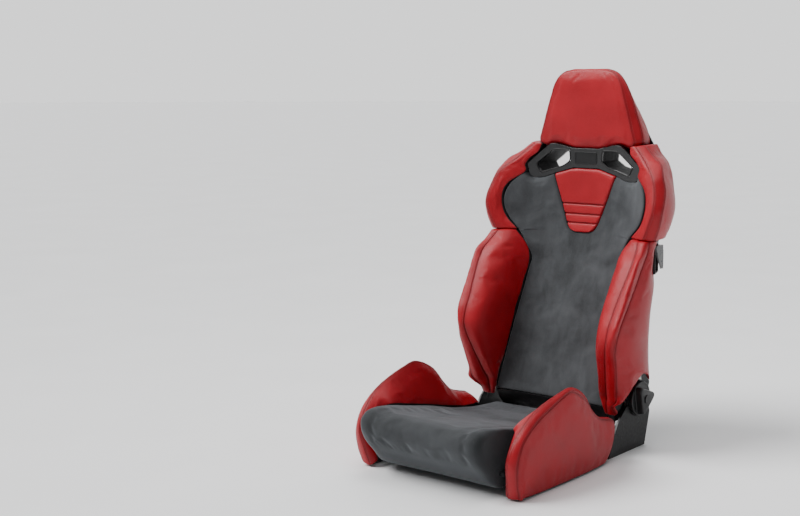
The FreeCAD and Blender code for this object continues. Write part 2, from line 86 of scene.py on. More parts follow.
def read(points, knots, at):
    """Smooth curve through the points, which stand at the knots, read at the given places."""
    points = np.asarray(points, float)
    flat = points.reshape(len(points), -1)
    step = np.diff(knots)[:, None]
    slope = np.diff(flat, axis=0) / step
    tangent = np.empty_like(flat)
    tangent[0], tangent[-1] = slope[0], slope[-1]
    tangent[1:-1] = (slope[:-1] * step[1:] + slope[1:] * step[:-1]) / (step[1:] + step[:-1])
    i = np.clip(np.searchsorted(knots, at, side="right") - 1, 0, len(knots) - 2)
    h = step[i]
    u = (np.asarray(at) - knots[i])[:, None] / h
    start = (1 + 2 * u) * (1 - u) ** 2 * flat[i] + u * (1 - u) ** 2 * h * tangent[i]
    end = u * u * (3 - 2 * u) * flat[i + 1] + u * u * (u - 1) * h * tangent[i + 1]
    return (start + end).reshape((len(u),) + points.shape[1:])


def line_at(table, z):
    """Smooth reading of a table whose first column is height."""
    table = np.array(table, float)
    return read(table[:, 1:], table[:, 0], np.atleast_1d(z))


def shares(width, count, seam_first, seam_last):
    """Places across a panel from 0 to its width, closer together beside its seams."""
    tight = min(1.0, 0.34 * width / NEAR[-1])
    head = [0.0] + [d * tight for d in NEAR] if seam_first else [0.0]
    tail = [d * tight for d in NEAR] + [0.0] if seam_last else [0.0]
    middle = np.linspace(head[-1], width - (NEAR[-1] * tight if seam_last else 0.0), count + 2)[1:-1]
    rear = [width - d for d in (sorted(tail, reverse=True))]
    return np.concatenate([head, middle, rear])


def soft_noise(points, size, seed):
    """Smooth random value from -1 to 1 at each point, with features of the given size in mm."""
    shift = Vector((seed * 17.3, seed * 5.1, seed * 9.7))
    flat = points.reshape(-1, 3)
    values = [noise.noise(Vector(p) / size + shift) for p in flat]
    return np.array(values).reshape(points.shape[:-1])


def tube_faces(rows, count, loop=False, capped=True):
    """Faces between rings of points; loop joins the last ring to the first, or caps close the ends."""
    faces = []
    for i in range(rows if loop else rows - 1):
        a, b = i * count, (i + 1) % rows * count
        faces += [(a + j, a + (j + 1) % count, b + (j + 1) % count, b + j) for j in range(count)]
    if capped and not loop:
        faces += [tuple(range(count)), tuple(range((rows - 1) * count, rows * count))]
    return faces


class Loft:
    """Closed padded body through rows of key points, sewn along some of its columns.

    A panel is (columns, crown in mm, material number); the columns named in seams are sewn.
    """

    def __init__(self, rows, panels, seams, guide, spacing=5.5, seed=1, dents=0.7, hidden=()):
        keys = np.array(rows, float)
        knots = lengths(keys[:, guide].mean(axis=1))
        at = np.linspace(0, knots[-1], int(knots[-1] / spacing) + 2)
        keys = read(keys, knots, at)
        self.seam_places = {}
        grids, crowns, distances, self.material = [], [], [], []
        for number, (columns, crown, material) in enumerate(panels):
            first, last = columns[0] in seams, columns[-1] in seams
            runs = [lengths(row) for row in keys[:, columns]]
            widest = max(run[-1] for run in runs)
            step = 16.0 if number in hidden else spacing
            count = max(1, int((widest - 8.0 * (first + last)) / step))
            if first:
                self.seam_places[columns[0]] = sum(g.shape[1] for g in grids)
            panel, crown_here, away = [], [], []
            for row, run in zip(keys[:, columns], runs):
                s = shares(run[-1], count, first, last)
                panel.append(read(row, run, s)[:-1])
                share = s[:-1] / run[-1]
                crown_here.append(crown * (1 - np.abs(2 * share - 1) ** CROWN_POWER))
                far = np.full(len(share), 99.0)
                if first:
                    far = np.minimum(far, s[:-1])
                if last:
                    far = np.minimum(far, run[-1] - s[:-1])
                away.append(far)
            grids.append(np.array(panel))
            crowns.append(np.array(crown_here))
            distances.append(np.array(away))
            self.material += [material] * len(panel[0])
        self.points = np.concatenate(grids, axis=1)
        self.distance = np.concatenate(distances, axis=1)
        starts = np.cumsum([0] + [g.shape[1] for g in grids])
        self.covered = np.zeros(self.points.shape[1], bool)
        for number in hidden:
            self.covered[starts[number]:starts[number + 1] + 1] = True
        self.seed = seed
        self.shape_surface(np.concatenate(crowns, axis=1), dents)

    def normals(self):
        across = np.roll(self.points, -1, axis=1) - np.roll(self.points, 1, axis=1)
        along = np.gradient(self.points, axis=0)
        normal = np.cross(along, across)
        normal /= np.linalg.norm(normal, axis=2, keepdims=True) + 1e-9
        outward = self.points - self.points.mean(axis=1, keepdims=True)
        if (normal * outward).sum() < 0:
            normal = -normal
        return normal

    def shape_surface(self, crown, dents):
        """Crown of each panel, the sewn trenches, and the small unevenness of upholstery."""
        trench = -TRENCH_DEPTH * np.exp(-(self.distance / TRENCH_WIDTH) ** 2)
        dip = -0.5 * np.exp(-((self.distance - NEAR[STITCH_LINE - 1]) / 1.2) ** 2)
        pucker = 0.55 * soft_noise(self.points, 11.0, self.seed) * np.exp(-self.distance / 16.0)
        waves = dents * soft_noise(self.points, 60.0, self.seed + 4)
        change = crown + trench + dip + np.where(self.distance < 90, pucker, 0) + waves
        change[:, self.covered] = 0
        self.points = self.points + self.normals() * change[:, :, None]

    def caps(self, bulge):
        """Rounded ends: rings that shrink to the middle of the first and last row."""
        ends = []
        for row, inner in ((0, 3), (-1, -4)):
            ring = self.points[row]
            middle = ring.mean(axis=0)
            out = middle - self.points[inner].mean(axis=0)
            out /= np.linalg.norm(out)
            rings = []
            for angle in (0.3, 0.6, 0.9, 1.15):
                rings.append(middle + (ring - middle) * cos(angle) ** 0.6 + out * bulge * sin(angle))
            ends.append((rings, middle + out * bulge))
        return ends

    def mesh(self, name, materials, bulge=4.0, mirror=False):
        """Blender object of the body, its vertices grouped by how firmly they are held."""
        rows, ring = self.points.shape[:2]
        verts = list(self.points.reshape(-1, 3))
        faces, slots = [], []

        def strip(a, b, turned):
            for j in range(ring):
                k = (j + 1) % ring
                face = (a + j, a + k, b + k, b + j)
                faces.append(face[::-1] if turned else face)
                slots.append(self.material[j])

        for i in range(rows - 1):
            strip(i * ring, (i + 1) * ring, False)
        for start, turned, (rings, tip) in zip((0, (rows - 1) * ring), (True, False), self.caps(bulge)):
            for points in rings:
                strip(start, len(verts), turned)
                start = len(verts)
                verts += list(points)
            verts.append(tip)
            for j in range(ring):
                face = (start + j, start + (j + 1) % ring, len(verts) - 1)
                faces.append(face[::-1] if turned else face)
                slots.append(self.material[j])
        verts = np.array(verts)
        if mirror:
            verts = verts * (-1, 1, 1)
        obj = mesh_object(name, verts, faces, materials, slots)
        held = np.clip(1.15 - (self.distance - 5.0) / 14.0, 0.0, 1.0)
        held[self.distance > 90] = 0.0
        held[:, self.covered] = 1.0
        held[:3] = 1.0
        held[-3:] = 1.0
        hold = np.ones(len(verts))
        hold[:rows * ring] = held.reshape(-1)
        # Painted shade along the seams: strongest at each sewn column and fading within a few mm; the
        # materials darken the colour there.
        painted_shade = np.zeros(len(verts))
        painted_shade[:rows * ring] = np.exp(-self.distance / 3.2).reshape(-1)
        add_attribute(obj, "painted_shade", painted_shade)
        add_attribute(obj, "hold", hold)
        return obj


def add_attribute(obj, name, values):
    obj.data.attributes.new(name, "FLOAT", "POINT")
    set_attribute(obj, name, values)


def set_attribute(obj, name, values):
    obj.data.attributes[name].data.foreach_set("value", np.asarray(values, np.float32))


def mesh_object(name, verts, faces, materials, slots=None, smooth=True):
    """Closed mesh from points in mm, its normals turned outwards."""
    data = bpy.data.meshes.new(name)
    data.from_pydata([Vector(v) * MM for v in verts], [], [tuple(int(i) for i in f) for f in faces])
    for material in materials:
        data.materials.append(material)
    if slots is not None:
        data.polygons.foreach_set("material_index", np.array(slots, np.int32))
    bm = bmesh.new()
    bm.from_mesh(data)
    bmesh.ops.recalc_face_normals(bm, faces=bm.faces)
    bm.to_mesh(data)
    bm.free()
    data.polygons.foreach_set("use_smooth", [smooth] * len(data.polygons))
    obj = bpy.data.objects.new(name, data)
    bpy.context.scene.collection.objects.link(obj)
    return obj


def coordinates(data):
    co = np.empty(len(data.vertices) * 3)
    data.vertices.foreach_get("co", co)
    return co.reshape(-1, 3)


def settle(obj, cap, pressure, spare, frames=12):
    """Cloth simulation of the cover: light pressure, a little spare cloth, held along its seams."""
    hold = np.empty(len(obj.data.vertices), np.float32)
    obj.data.attributes["hold"].data.foreach_get("value", hold)
    group = obj.vertex_groups.new(name="held")
    levels = np.round(hold * 10).astype(int)
    for level in range(1, 11):
        group.add([int(i) for i in np.nonzero(levels == level)[0]], level / 10, "REPLACE")
    cloth = obj.modifiers.new("cover", "CLOTH")
    rules = cloth.settings
    rules.quality = 5
    rules.mass = 0.25
    rules.tension_stiffness = 18
    rules.compression_stiffness = 18
    rules.shear_stiffness = 8
    rules.bending_stiffness = 1.2
    rules.use_pressure = True
    rules.uniform_pressure_force = pressure
    rules.shrink_min = -spare
    rules.shrink_max = -spare
    rules.vertex_group_mass = group.name
    rules.effector_weights.gravity = 0
    cloth.collision_settings.use_collision = False
    cloth.point_cache.frame_end = frames
    scene = bpy.context.scene
    for number in range(1, frames + 1):
        scene.frame_set(number)
    before = coordinates(obj.data)
    after = coordinates(obj.evaluated_get(bpy.context.evaluated_depsgraph_get()).data)
    move = after - before
    far = np.linalg.norm(move, axis=1, keepdims=True)
    move *= np.minimum(1.0, cap * MM / np.maximum(far, 1e-9))
    obj.modifiers.remove(cloth)
    obj.vertex_groups.remove(group)
    obj.data.vertices.foreach_set("co", (before + move).reshape(-1))
    scene.frame_set(1)
    obj.data.update()


def capsule():
    """One stitch along X: points and faces, 1 long and 1 thick."""
    stations = ((-0.5, 0.0), (-0.44, 0.62), (-0.25, 1.0), (0.25, 1.0), (0.44, 0.62), (0.5, 0.0))
    sides = 6
    verts = []
    for x, r in stations:
        for k in range(sides):
            angle = 2 * pi * k / sides
            verts.append((x, r * cos(angle) * 0.5, r * sin(angle) * 0.5))
    return np.array(verts), np.array(tube_faces(len(stations), sides, capped=False))


def stitches(name, lines):
    """Topstitching along lines of (points, normals) in mm, as one mesh."""
    shape, shape_faces = capsule()
    verts, faces = [], []
    for points, normals in lines:
        run = lengths(points)
        for place in np.arange(STITCH_PITCH / 2, run[-1] - STITCH_LENGTH / 2, STITCH_PITCH):
            i = min(np.searchsorted(run, place, side="right") - 1, len(run) - 2)
            share = (place - run[i]) / (run[i + 1] - run[i])
            centre = points[i] * (1 - share) + points[i + 1] * share
            tangent = points[i + 1] - points[i]
            tangent = tangent / np.linalg.norm(tangent)
            up = normals[i] - tangent * np.dot(normals[i], tangent)
            up = up / np.linalg.norm(up)
            side = np.cross(up, tangent)
            axes = np.array([tangent * STITCH_LENGTH, side * STITCH_THICK, up * STITCH_THICK])
            faces += list(shape_faces + len(verts))
            verts += list(centre + up * STITCH_PROUD + shape @ axes)
    return mesh_object(name, verts, faces, [THREAD])


def seam_lines(obj, loft, columns, single):
    """Lines beside the sewn columns, read from the finished mesh."""
    rows, ring = loft.points.shape[:2]
    data = obj.data
    points = coordinates(data)[:rows * ring].reshape(rows, ring, 3) / MM
    normals = np.empty(len(data.vertices) * 3)
    data.vertices.foreach_get("normal", normals)
    normals = normals.reshape(-1, 3)[:rows * ring].reshape(rows, ring, 3)
    lines = []
    for column in columns:
        place = loft.seam_places[column]
        for side in ((1,) if column in single else (-1, 1)):
            j = (place + side * STITCH_LINE) % ring
            lines.append((points[1:-1, j], normals[1:-1, j]))
    return lines


# ---- materials -------------------------------------------------------------------
class Look:
    """Node tree of one procedural material."""

    def __init__(self, name):
        self.material = bpy.data.materials.new(name)
        self.material.use_nodes = True
        self.tree = self.material.node_tree
        self.shader = self.tree.nodes["Principled BSDF"]
        self.place = self.add("ShaderNodeTexCoord").outputs["Object"]

    def add(self, kind, **settings):
        node = self.tree.nodes.new(kind)
        for key, value in settings.items():
            setattr(node, key, value)
        return node

    def link(self, source, target):
        self.tree.links.new(source, target)

    def set(self, **values):
        for key, value in values.items():
            self.shader.inputs[key.replace("_", " ")].default_value = value

    def noise(self, size, detail=3.0, stretch=None, distortion=0.0):
        """Noise whose features are about this size in mm; stretch scales it per axis."""
        node = self.add("ShaderNodeTexNoise")
        node.inputs["Scale"].default_value = 1000.0 / size
        node.inputs["Detail"].default_value = detail
        node.inputs["Distortion"].default_value = distortion
        source = self.place
        if stretch:
            mapping = self.add("ShaderNodeMapping")
            mapping.inputs["Scale"].default_value = stretch
            self.link(source, mapping.inputs["Vector"])
            source = mapping.outputs["Vector"]
        self.link(source, node.inputs["Vector"])
        return node.outputs["Fac"]

    def cells(self, size, feature="DISTANCE_TO_EDGE"):
        node = self.add("ShaderNodeTexVoronoi", feature=feature)
        node.inputs["Scale"].default_value = 1000.0 / size
        self.link(self.place, node.inputs["Vector"])
        return node.outputs["Distance"]

    def attribute(self, name):
        return self.add("ShaderNodeAttribute", attribute_name=name).outputs["Fac"]

    def ramp(self, source, *stops):
        """Colour ramp; each stop is (place, colour or grey)."""
        node = self.add("ShaderNodeValToRGB")
        elements = node.color_ramp.elements
        while len(elements) < len(stops):
            elements.new(0.5)
        for element, (place, colour) in zip(elements, stops):
            element.position = place
            element.color = (*colour, 1) if isinstance(colour, tuple) else (colour, colour, colour, 1)
        self.link(source, node.inputs["Fac"])
        return node.outputs["Color"]

    def math(self, operation, a, b):
        node = self.add("ShaderNodeMath", operation=operation)
        for socket, value in zip(node.inputs, (a, b)):
            if isinstance(value, (int, float)):
                socket.default_value = value
            else:
                self.link(value, socket)
        return node.outputs["Value"]

    def mix(self, factor, a, b):
        node = self.add("ShaderNodeMix", data_type="RGBA")
        pairs = ((node.inputs[0], factor), (node.inputs[6], a), (node.inputs[7], b))
        for socket, value in pairs:
            if isinstance(value, (int, float)):
                socket.default_value = value
            elif isinstance(value, tuple):
                socket.default_value = (*value, 1)
            else:
                self.link(value, socket)
        return node.outputs[2]

    def colour(self, source):
        self.link(source, self.shader.inputs["Base Color"])

    def roughness(self, source):
        self.link(source, self.shader.inputs["Roughness"])

    def bump(self, *heights, depth=0.3):
        """Bump from (source, weight) heights; depth is the relief in mm."""
        total = None
        for source, weight in heights:
            part = self.math("MULTIPLY", source, weight)
            total = part if total is None else self.math("ADD", total, part)
        node = self.add("ShaderNodeBump")
        node.inputs["Strength"].default_value = 1.0
        node.inputs["Distance"].default_value = depth * MM
        self.link(total, node.inputs["Height"])
        self.link(node.outputs["Normal"], self.shader.inputs["Normal"])


def red_leather():
    look = Look("red_leather")
    patches = look.noise(70.0, 4.0)
    flecks = look.noise(5.0, 3.0)
    base = look.ramp(patches, (0.3, (0.27, 0.0032, 0.0085)), (0.7, (0.35, 0.0055, 0.0125)))
    base = look.mix(look.ramp(flecks, (0.35, 0.0), (0.75, 0.35)), base, (0.37, 0.008, 0.015))
    # Painted shade: the red darkens almost to black-red in the seam trenches.
    painted_shade = look.attribute("painted_shade")
    base = look.mix(look.math("MULTIPLY", painted_shade, 0.75), base, (0.085, 0.001, 0.003))
    look.colour(base)
    look.roughness(look.ramp(patches, (0.3, 0.37), (0.75, 0.46)))
    pores = look.ramp(look.cells(1.5), (0.0, 0.0), (0.22, 1.0))
    creases = look.ramp(look.cells(3.6), (0.0, 0.0), (0.12, 1.0))
    look.bump((pores, 0.5), (creases, 0.3), (look.noise(0.7, 2.0), 0.35), depth=0.16)
    look.set(Coat_Weight=0.02, Coat_Roughness=0.30, Specular_IOR_Level=0.26)
    return look.material


def red_thread():
    look = Look("red_thread")
    strands = look.noise(0.5, 2.0)
    look.colour(look.ramp(strands, (0.3, (0.16, 0.004, 0.008)), (0.7, (0.33, 0.02, 0.03))))
    look.roughness(look.ramp(strands, (0.3, 0.5), (0.7, 0.65)))
    look.bump((strands, 1.0), depth=0.1)
    return look.material


SUEDE_TONES = (0.014, 0.0152, 0.0165), (0.060, 0.064, 0.068), (0.078, 0.083, 0.088)


def grey_suede(name="grey_suede", dark=1.0):
    """Brushed microfibre: nap lying in soft streaks and blotches."""
    look = Look(name)
    blotches = look.noise(120.0, 5.0, distortion=0.6)
    nap = look.noise(26.0, 6.0, (1.0, 0.45, 0.45), 0.4)
    fibres = look.noise(1.1, 3.0)
    low, high, worn = [tuple(dark * c for c in tone) for tone in SUEDE_TONES]
    base = look.ramp(look.mix(0.36, blotches, nap), (0.36, low), (0.64, high))
    base = look.mix(look.ramp(fibres, (0.3, 0.0), (0.8, 0.5)), base, worn)
    # Painted shade: the suede darkens nearly to black along its seams, pocket lip and edges.
    painted_shade = look.attribute("painted_shade")
    base = look.mix(look.math("MULTIPLY", painted_shade, 0.85), base, (0.006, 0.006, 0.007))
    look.colour(base)
    look.roughness(look.ramp(nap, (0.3, 0.82), (0.7, 0.95)))
    look.bump((fibres, 0.8), (nap, 0.9), (look.noise(3.2, 3.0), 0.5), depth=0.35)
    look.set(Sheen_Weight=0.30, Sheen_Roughness=0.45, Sheen_Tint=(0.72, 0.78, 0.84, 1))
    look.set(Specular_IOR_Level=0.25)
    return look.material


def plastic(name, colour, lighter, low, high, grain=0.9, depth=0.05, coat=0.0, shine=0.5):
    """Moulded plastic with a fine etched grain and faint handling marks."""
    look = Look(name)
    marks = look.noise(22.0, 5.0)
    look.colour(look.ramp(marks, (0.35, colour), (0.75, lighter)))
    look.roughness(look.ramp(look.noise(9.0, 6.0), (0.3, low), (0.7, high)))
    look.bump((look.cells(grain, "F1"), 0.8), (look.noise(0.5, 2.0), 0.4), depth=depth)
    look.set(Coat_Weight=coat, Coat_Roughness=0.12, Specular_IOR_Level=shine)
    return look.material


def painted_steel():
    """Black powder coat: orange peel, a few rubbed grey spots."""
    look = Look("black_steel")
    worn = look.ramp(look.noise(16.0, 8.0), (0.66, 0.0), (0.74, 1.0))
    base = look.ramp(look.noise(40.0), (0.3, (0.005, 0.005, 0.0055)), (0.7, (0.009, 0.009, 0.010)))
    look.colour(look.mix(look.math("MULTIPLY", worn, 0.35), base, (0.11, 0.11, 0.115)))
    look.roughness(look.ramp(look.noise(7.0), (0.3, 0.36), (0.7, 0.55)))
    look.bump((look.noise(1.8, 2.0), 1.0), depth=0.08)
    look.set(Specular_IOR_Level=0.35)
    return look.material


def plated_steel(name, colour, bright):
    """Zinc plate or spring wire: brushed, slightly blotched metal."""
    look = Look(name)
    blotch = look.noise(12.0, 6.0)
    look.colour(look.ramp(blotch, (0.3, colour), (0.7, bright)))
    look.roughness(look.ramp(look.noise(4.0, 5.0), (0.3, 0.26), (0.7, 0.44)))
    look.bump((look.noise(0.8, 2.0, (0.2, 1.0, 1.0)), 1.0), depth=0.03)
    look.set(Metallic=1.0)
    return look.material


LEATHER = red_leather()
THREAD = red_thread()
SUEDE = grey_suede()
SEAT_SUEDE = grey_suede("grey_suede_seat", 0.6)
SATIN = plastic("satin_plastic", (0.0065, 0.0065, 0.007), (0.011, 0.011, 0.0115), 0.34, 0.50, shine=0.3)
GLOSS = plastic("gloss_plastic", (0.004, 0.004, 0.0045), (0.008, 0.008, 0.009), 0.10, 0.20, depth=0.01,
                coat=0.3, shine=0.3)
DIAL = plastic("dial_plastic", (0.006, 0.006, 0.0065), (0.010, 0.010, 0.011), 0.30, 0.44, depth=0.04,
               coat=0.1, shine=0.35)
LINING = plastic("black_lining", (0.006, 0.006, 0.007), (0.012, 0.012, 0.013), 0.6, 0.8, grain=1.6,
                 depth=0.15)
LEVER = plastic("lever_plastic", (0.070, 0.072, 0.074), (0.100, 0.102, 0.105), 0.26, 0.36, depth=0.02)
STEEL = painted_steel()
ZINC = plated_steel("zinc_steel", (0.42, 0.42, 0.40), (0.62, 0.61, 0.57))
WIRE = plated_steel("spring_wire", (0.16, 0.16, 0.165), (0.30, 0.30, 0.30))


# ---- soft pieces -----------------------------------------------------------------
def soft_piece(obj, body, nodes, slot, fill, cap=1.6, pressure=1.2, spare=0.004):
    """A pad in place of its CAD nodes, its cover settled by the cloth simulation."""
    settle(obj, cap, pressure, spare)
    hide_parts(*nodes)
    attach(obj, body)


def sewn(loft, name, body, node, columns, single=(), mirror=False, bulge=4.0, **cloth):
    """A leather body with its topstitching, riding on a body in place of its CAD node."""
    obj = loft.mesh(name, [LEATHER, LINING], bulge, mirror)
    soft_piece(obj, body, [node], "red_leather", FILL, **cloth)
    thread = stitches(name + "_stitching", seam_lines(obj, loft, columns, single))
    thread.parent = obj
    return obj


def both_sides(build):
    """Build the +X piece and its mirrored -X twin, each with its own unevenness."""
    for side, mirror in (("left", False), ("right", True)):
        build(side, mirror)


# Cushion bolster, front bottom round over the top to the rear bottom: insert edge,
# crest seam, outer seam, outer bottom, inner bottom.
CUSHION_BOLSTER = [
    ((212, -345, 20), (224, -360, 8), (256, -356, 10), (252, -343, 5), (228, -343, 5)),
    ((222, -348, 60), (230, -373, 49), (261, -369, 52), (256, -320, 5), (226, -325, 5)),
    ((224, -345, 100), (238, -383, 102), (264, -371, 96), (258, -290, 5), (224, -300, 5)),
    ((222, -335, 138), (243, -360, 146), (265, -351, 143), (260, -255, 5), (223, -265, 5)),
    ((214, -318, 153), (247, -329, 178), (266, -330, 163), (261, -215, 5), (223, -225, 5)),
    ((199, -300, 161), (249, -295, 201), (266, -290, 187), (262, -180, 5), (223, -185, 5)),
    ((199, -240, 148), (250, -245, 221), (266, -245, 204), (262, -140, 5), (223, -145, 5)),
    ((199, -180, 134), (252, -195, 233), (266, -200, 220), (262, -105, 5), (223, -110, 5)),
    ((199, -130, 122), (254, -150, 240), (266, -155, 230), (262, -75, 5), (223, -80, 5)),
    ((199, -95, 113), (253, -114, 229), (265, -117, 213), (261, -50, 5), (223, -55, 5)),
    ((199, -65, 106), (249, -80, 207), (262, -82, 190), (260, -30, 5), (223, -35, 5)),
    ((199, -35, 100), (245, -52, 170), (259, -52, 157), (258, -12, 5), (223, -16, 5)),
    ((199, -5, 94), (243, -10, 133), (256, -10, 128), (257, 0, 5), (223, -2, 5)),
    ((200, 25, 91), (241, 18, 124), (254, 16, 120), (256, 8, 5), (223, 7, 5)),
    ((201, 50, 90), (240, 50, 114), (253, 51, 111), (254, 16, 5), (223, 14, 5)),
    ((203, 60, 84), (239, 64, 101), (251, 65, 99), (252, 22, 5), (223, 19, 5)),
    ((204, 57, 68), (236, 60, 72), (248, 60, 71), (250, 24, 5), (223, 21, 5)),
]
RAIL_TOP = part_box("side_member_left")[1] / MM     # the bolsters step over the rails
LEDGE = RAIL_TOP.z + 5.0


def over_the_rail(row):
    """Adds the inner key point that keeps the bolster's underside clear of the rail."""
    edge, under = Vector(row[0]), Vector(row[-1])
    if edge.z < LEDGE + 5.0:
        return (*row, tuple((edge + under) / 2))
    return (*row, (RAIL_TOP.x + 8.0, under.y + (edge.y - under.y) * 0.4, LEDGE))


def cushion_bolster(side, mirror):
    rows = [over_the_rail(row) for row in CUSHION_BOLSTER]
    panels = [([0, 1], 4.0, 0), ([1, 2], 2.5, 0), ([2, 3], 6.0, 0), ([3, 4], 0.0, 1), ([4, 5], 0.0, 1),
              ([5, 0], 0.0, 1)]
    loft = Loft(rows, panels, {1, 2}, [1, 2], seed=3 + mirror, hidden={3, 4, 5})
    name = "cushion_bolster_%s_leather" % side
    sewn(loft, name, "seat_base", "cushion_bolster_" + side, (1, 2), mirror=mirror)


# Lines up the backrest's side bolster, as (z, x, y): its cheek, the front seam, the middle
# of the strip beside it, and the outer seam.
CHEEK = [(150, 180, 106), (160, 179, 103), (182, 185, 92), (206, 191, 82), (240, 199, 68), (280, 207, 53),
         (310, 213, 46), (332, 215, 48), (360, 214, 60), (395, 215, 78), (430, 217, 97), (460, 218, 114),
         (490, 220, 133), (517, 215, 153), (540, 209, 178), (563, 210, 206)]
FRONT_SEAM = [(150, 202, 100), (160, 205, 95), (182, 209, 84), (206, 215, 74), (240, 222, 60), (280, 231, 45),
              (310, 237, 38), (332, 238, 40), (360, 239, 52), (395, 241, 70), (430, 245, 89), (460, 248, 106),
              (490, 251, 125), (517, 251, 145), (540, 245, 170), (563, 237, 192)]
STRIP = [(150, 223, 87), (160, 226, 83), (182, 230, 74), (206, 236, 66), (240, 243, 55), (280, 250, 42),
         (310, 256, 37), (332, 260, 39), (360, 267, 49), (395, 268, 69), (430, 268, 88), (460, 268, 104),
         (490, 268, 121), (517, 267, 138), (540, 262, 169), (563, 258, 192)]
OUTER_SEAM = [(150, 243, 82), (160, 245, 80), (182, 250, 73), (206, 254, 66), (240, 259.5, 57),
              (280, 263, 46), (310, 265, 46), (332, 266, 55), (360, 266, 69), (395, 266, 95),
              (430, 266, 121), (460, 266, 144), (490, 266, 164), (517, 266, 183),
              (540, 266, 199), (563, 266, 205)]
# The rest of each row: height, insert edge, two points on the outer panel, its rear or
# arch edge, then the hidden way back inside.
LATERAL_BOLSTER = [
    (150, (189, 125), (254, 83, 151), (256, 86, 151), (253, 91, 152), (242, 93, 153), (228.5, 95, 153),
     (227, 150), (189, 142)),
    (172, (187, 133), (258, 86, 171), (261, 106, 170), (258, 122, 169), (242, 123, 171), (228, 124, 172),
     (226, 156), (187, 168)),
    (195, (184, 140), (261, 93, 194), (264, 124, 192), (260, 152, 190), (241, 153, 193), (228, 154, 194),
     (227, 178), (184, 182)),
    (222, (181, 149), (264, 101, 219), (266, 144, 215), (260, 187, 209), (242, 188, 211), (229, 188, 213),
     (229, 193), (181, 192)),
    (250, (178, 159), (266, 108, 240), (266, 164, 224), (257, 216, 203), (242, 217, 206), (229, 214, 213),
     (229, 203), (178, 203)),
    (285, (175, 170), (267, 114, 264), (264, 180, 232), (249, 240, 190), (238, 241, 194), (229, 238, 206),
     (229, 214), (175, 214)),
    (318, (172, 180), (268, 118, 294), (261, 190, 254), (238, 258, 181), (231, 257, 187), (229, 248, 206),
     (229, 225), (172, 225)),
    (345, (170, 188), (268, 124, 326), (259, 196, 292), (231, 263, 222), (229, 260, 227), (228, 254, 236),
     (226, 236), (170, 236)),
    (395, (164, 206), (268, 154, 384), (259, 210, 364), (227, 268, 322), (223, 266, 326), (220, 261, 334),
     (217, 250), (164, 252)),
    (430, (160, 217), (267, 172, 422), (257, 226, 405), (222, 281, 380), (219, 278, 385), (218, 273, 390),
     (217, 261), (160, 262)),
    (460, (156, 228), (267, 192, 453), (254, 238, 440), (220, 299, 427), (217, 295, 431), (217, 288, 437),
     (217, 270), (156, 272)),
    (490, (154, 232), (265, 208, 486), (247, 250, 478), (218, 303, 466), (217, 300, 469), (217, 295, 474),
     (217, 282), (154, 281)),
    (517, (162, 236), (264, 220, 514), (243, 256, 508), (219, 297, 502), (217, 296, 505), (217, 294, 508),
     (217, 292), (162, 290)),
    (540, (176, 231), (264, 222, 538), (241, 265, 535), (219, 297, 532), (217, 297, 534), (217, 296, 536),
     (217, 298), (176, 278)),
    (563, (195, 226), (265, 232, 563), (242, 282, 563), (220, 314, 563), (217, 313, 563), (217, 310, 563),
     (217, 304), (195, 264)),
]
# Its lower end, in the order of the rows above. It narrows inside the side bracket, and
# its far rear key reaches back to the side plate.
LATERAL_FOOT = (
    ((192, 120, 110), (192, 113, 108), (199, 107, 108), (214, 106, 108), (226.5, 107, 109), (227, 109, 111),
     (227.5, 110, 113), (227.5, 113, 116), (227, 114, 118), (227, 115, 120), (225, 133, 119),
     (193, 122, 111)),
    ((190, 123, 126), (187, 109, 124), (199, 104, 124), (215, 99, 124), (226, 97, 125), (226.5, 97, 127),
     (227, 98, 129), (227, 100, 131), (227, 101, 133), (227, 102, 134), (226, 142, 129), (190, 130, 127)),
    ((190, 124, 134), (185, 107, 133), (200, 102, 133), (216, 94, 133), (228, 90, 135), (233, 87, 138),
     (238, 86, 140), (239, 88, 142), (234, 91, 144), (228, 94, 145), (226, 146, 139), (190, 134, 134)),
    ((190, 124, 142), (183, 107, 141), (200, 101, 141), (218, 92, 141), (236, 86, 142), (243, 84, 144),
     (248, 85, 146), (250, 87, 147), (240, 90, 149), (228, 94, 150), (226, 148, 145), (190, 137, 141)),
)


def lateral_rows():
    rows = list(LATERAL_FOOT)
    for z, edge, *rest in LATERAL_BOLSTER:
        seams = [(*line_at(table, z)[0], z) for table in (CHEEK, FRONT_SEAM, STRIP, OUTER_SEAM)]
        ring = [(*edge, z)] + seams
        ring += [tuple(p) if len(p) == 3 else (*p, z) for p in rest]
        rows.append(ring)
    return rows


def lateral_bolster(side, mirror):
    panels = [([0, 1, 2], 2.5, 0), ([2, 3, 4], 1.5, 0), ([4, 5, 6, 7], 3.0, 0), ([7, 8], 1.0, 0),
              ([8, 9], 0.0, 1), ([9, 10], 0.0, 1), ([10, 11], 0.0, 1), ([11, 0], 0.0, 1)]
    loft = Loft(lateral_rows(), panels, {2, 4}, [2, 4], seed=7 + mirror, hidden={4, 5, 6, 7})
    name = "lateral_bolster_%s_leather" % side
    sewn(loft, name, "backrest", "lateral_bolster_" + side, (2, 4), single=(2,), mirror=mirror)


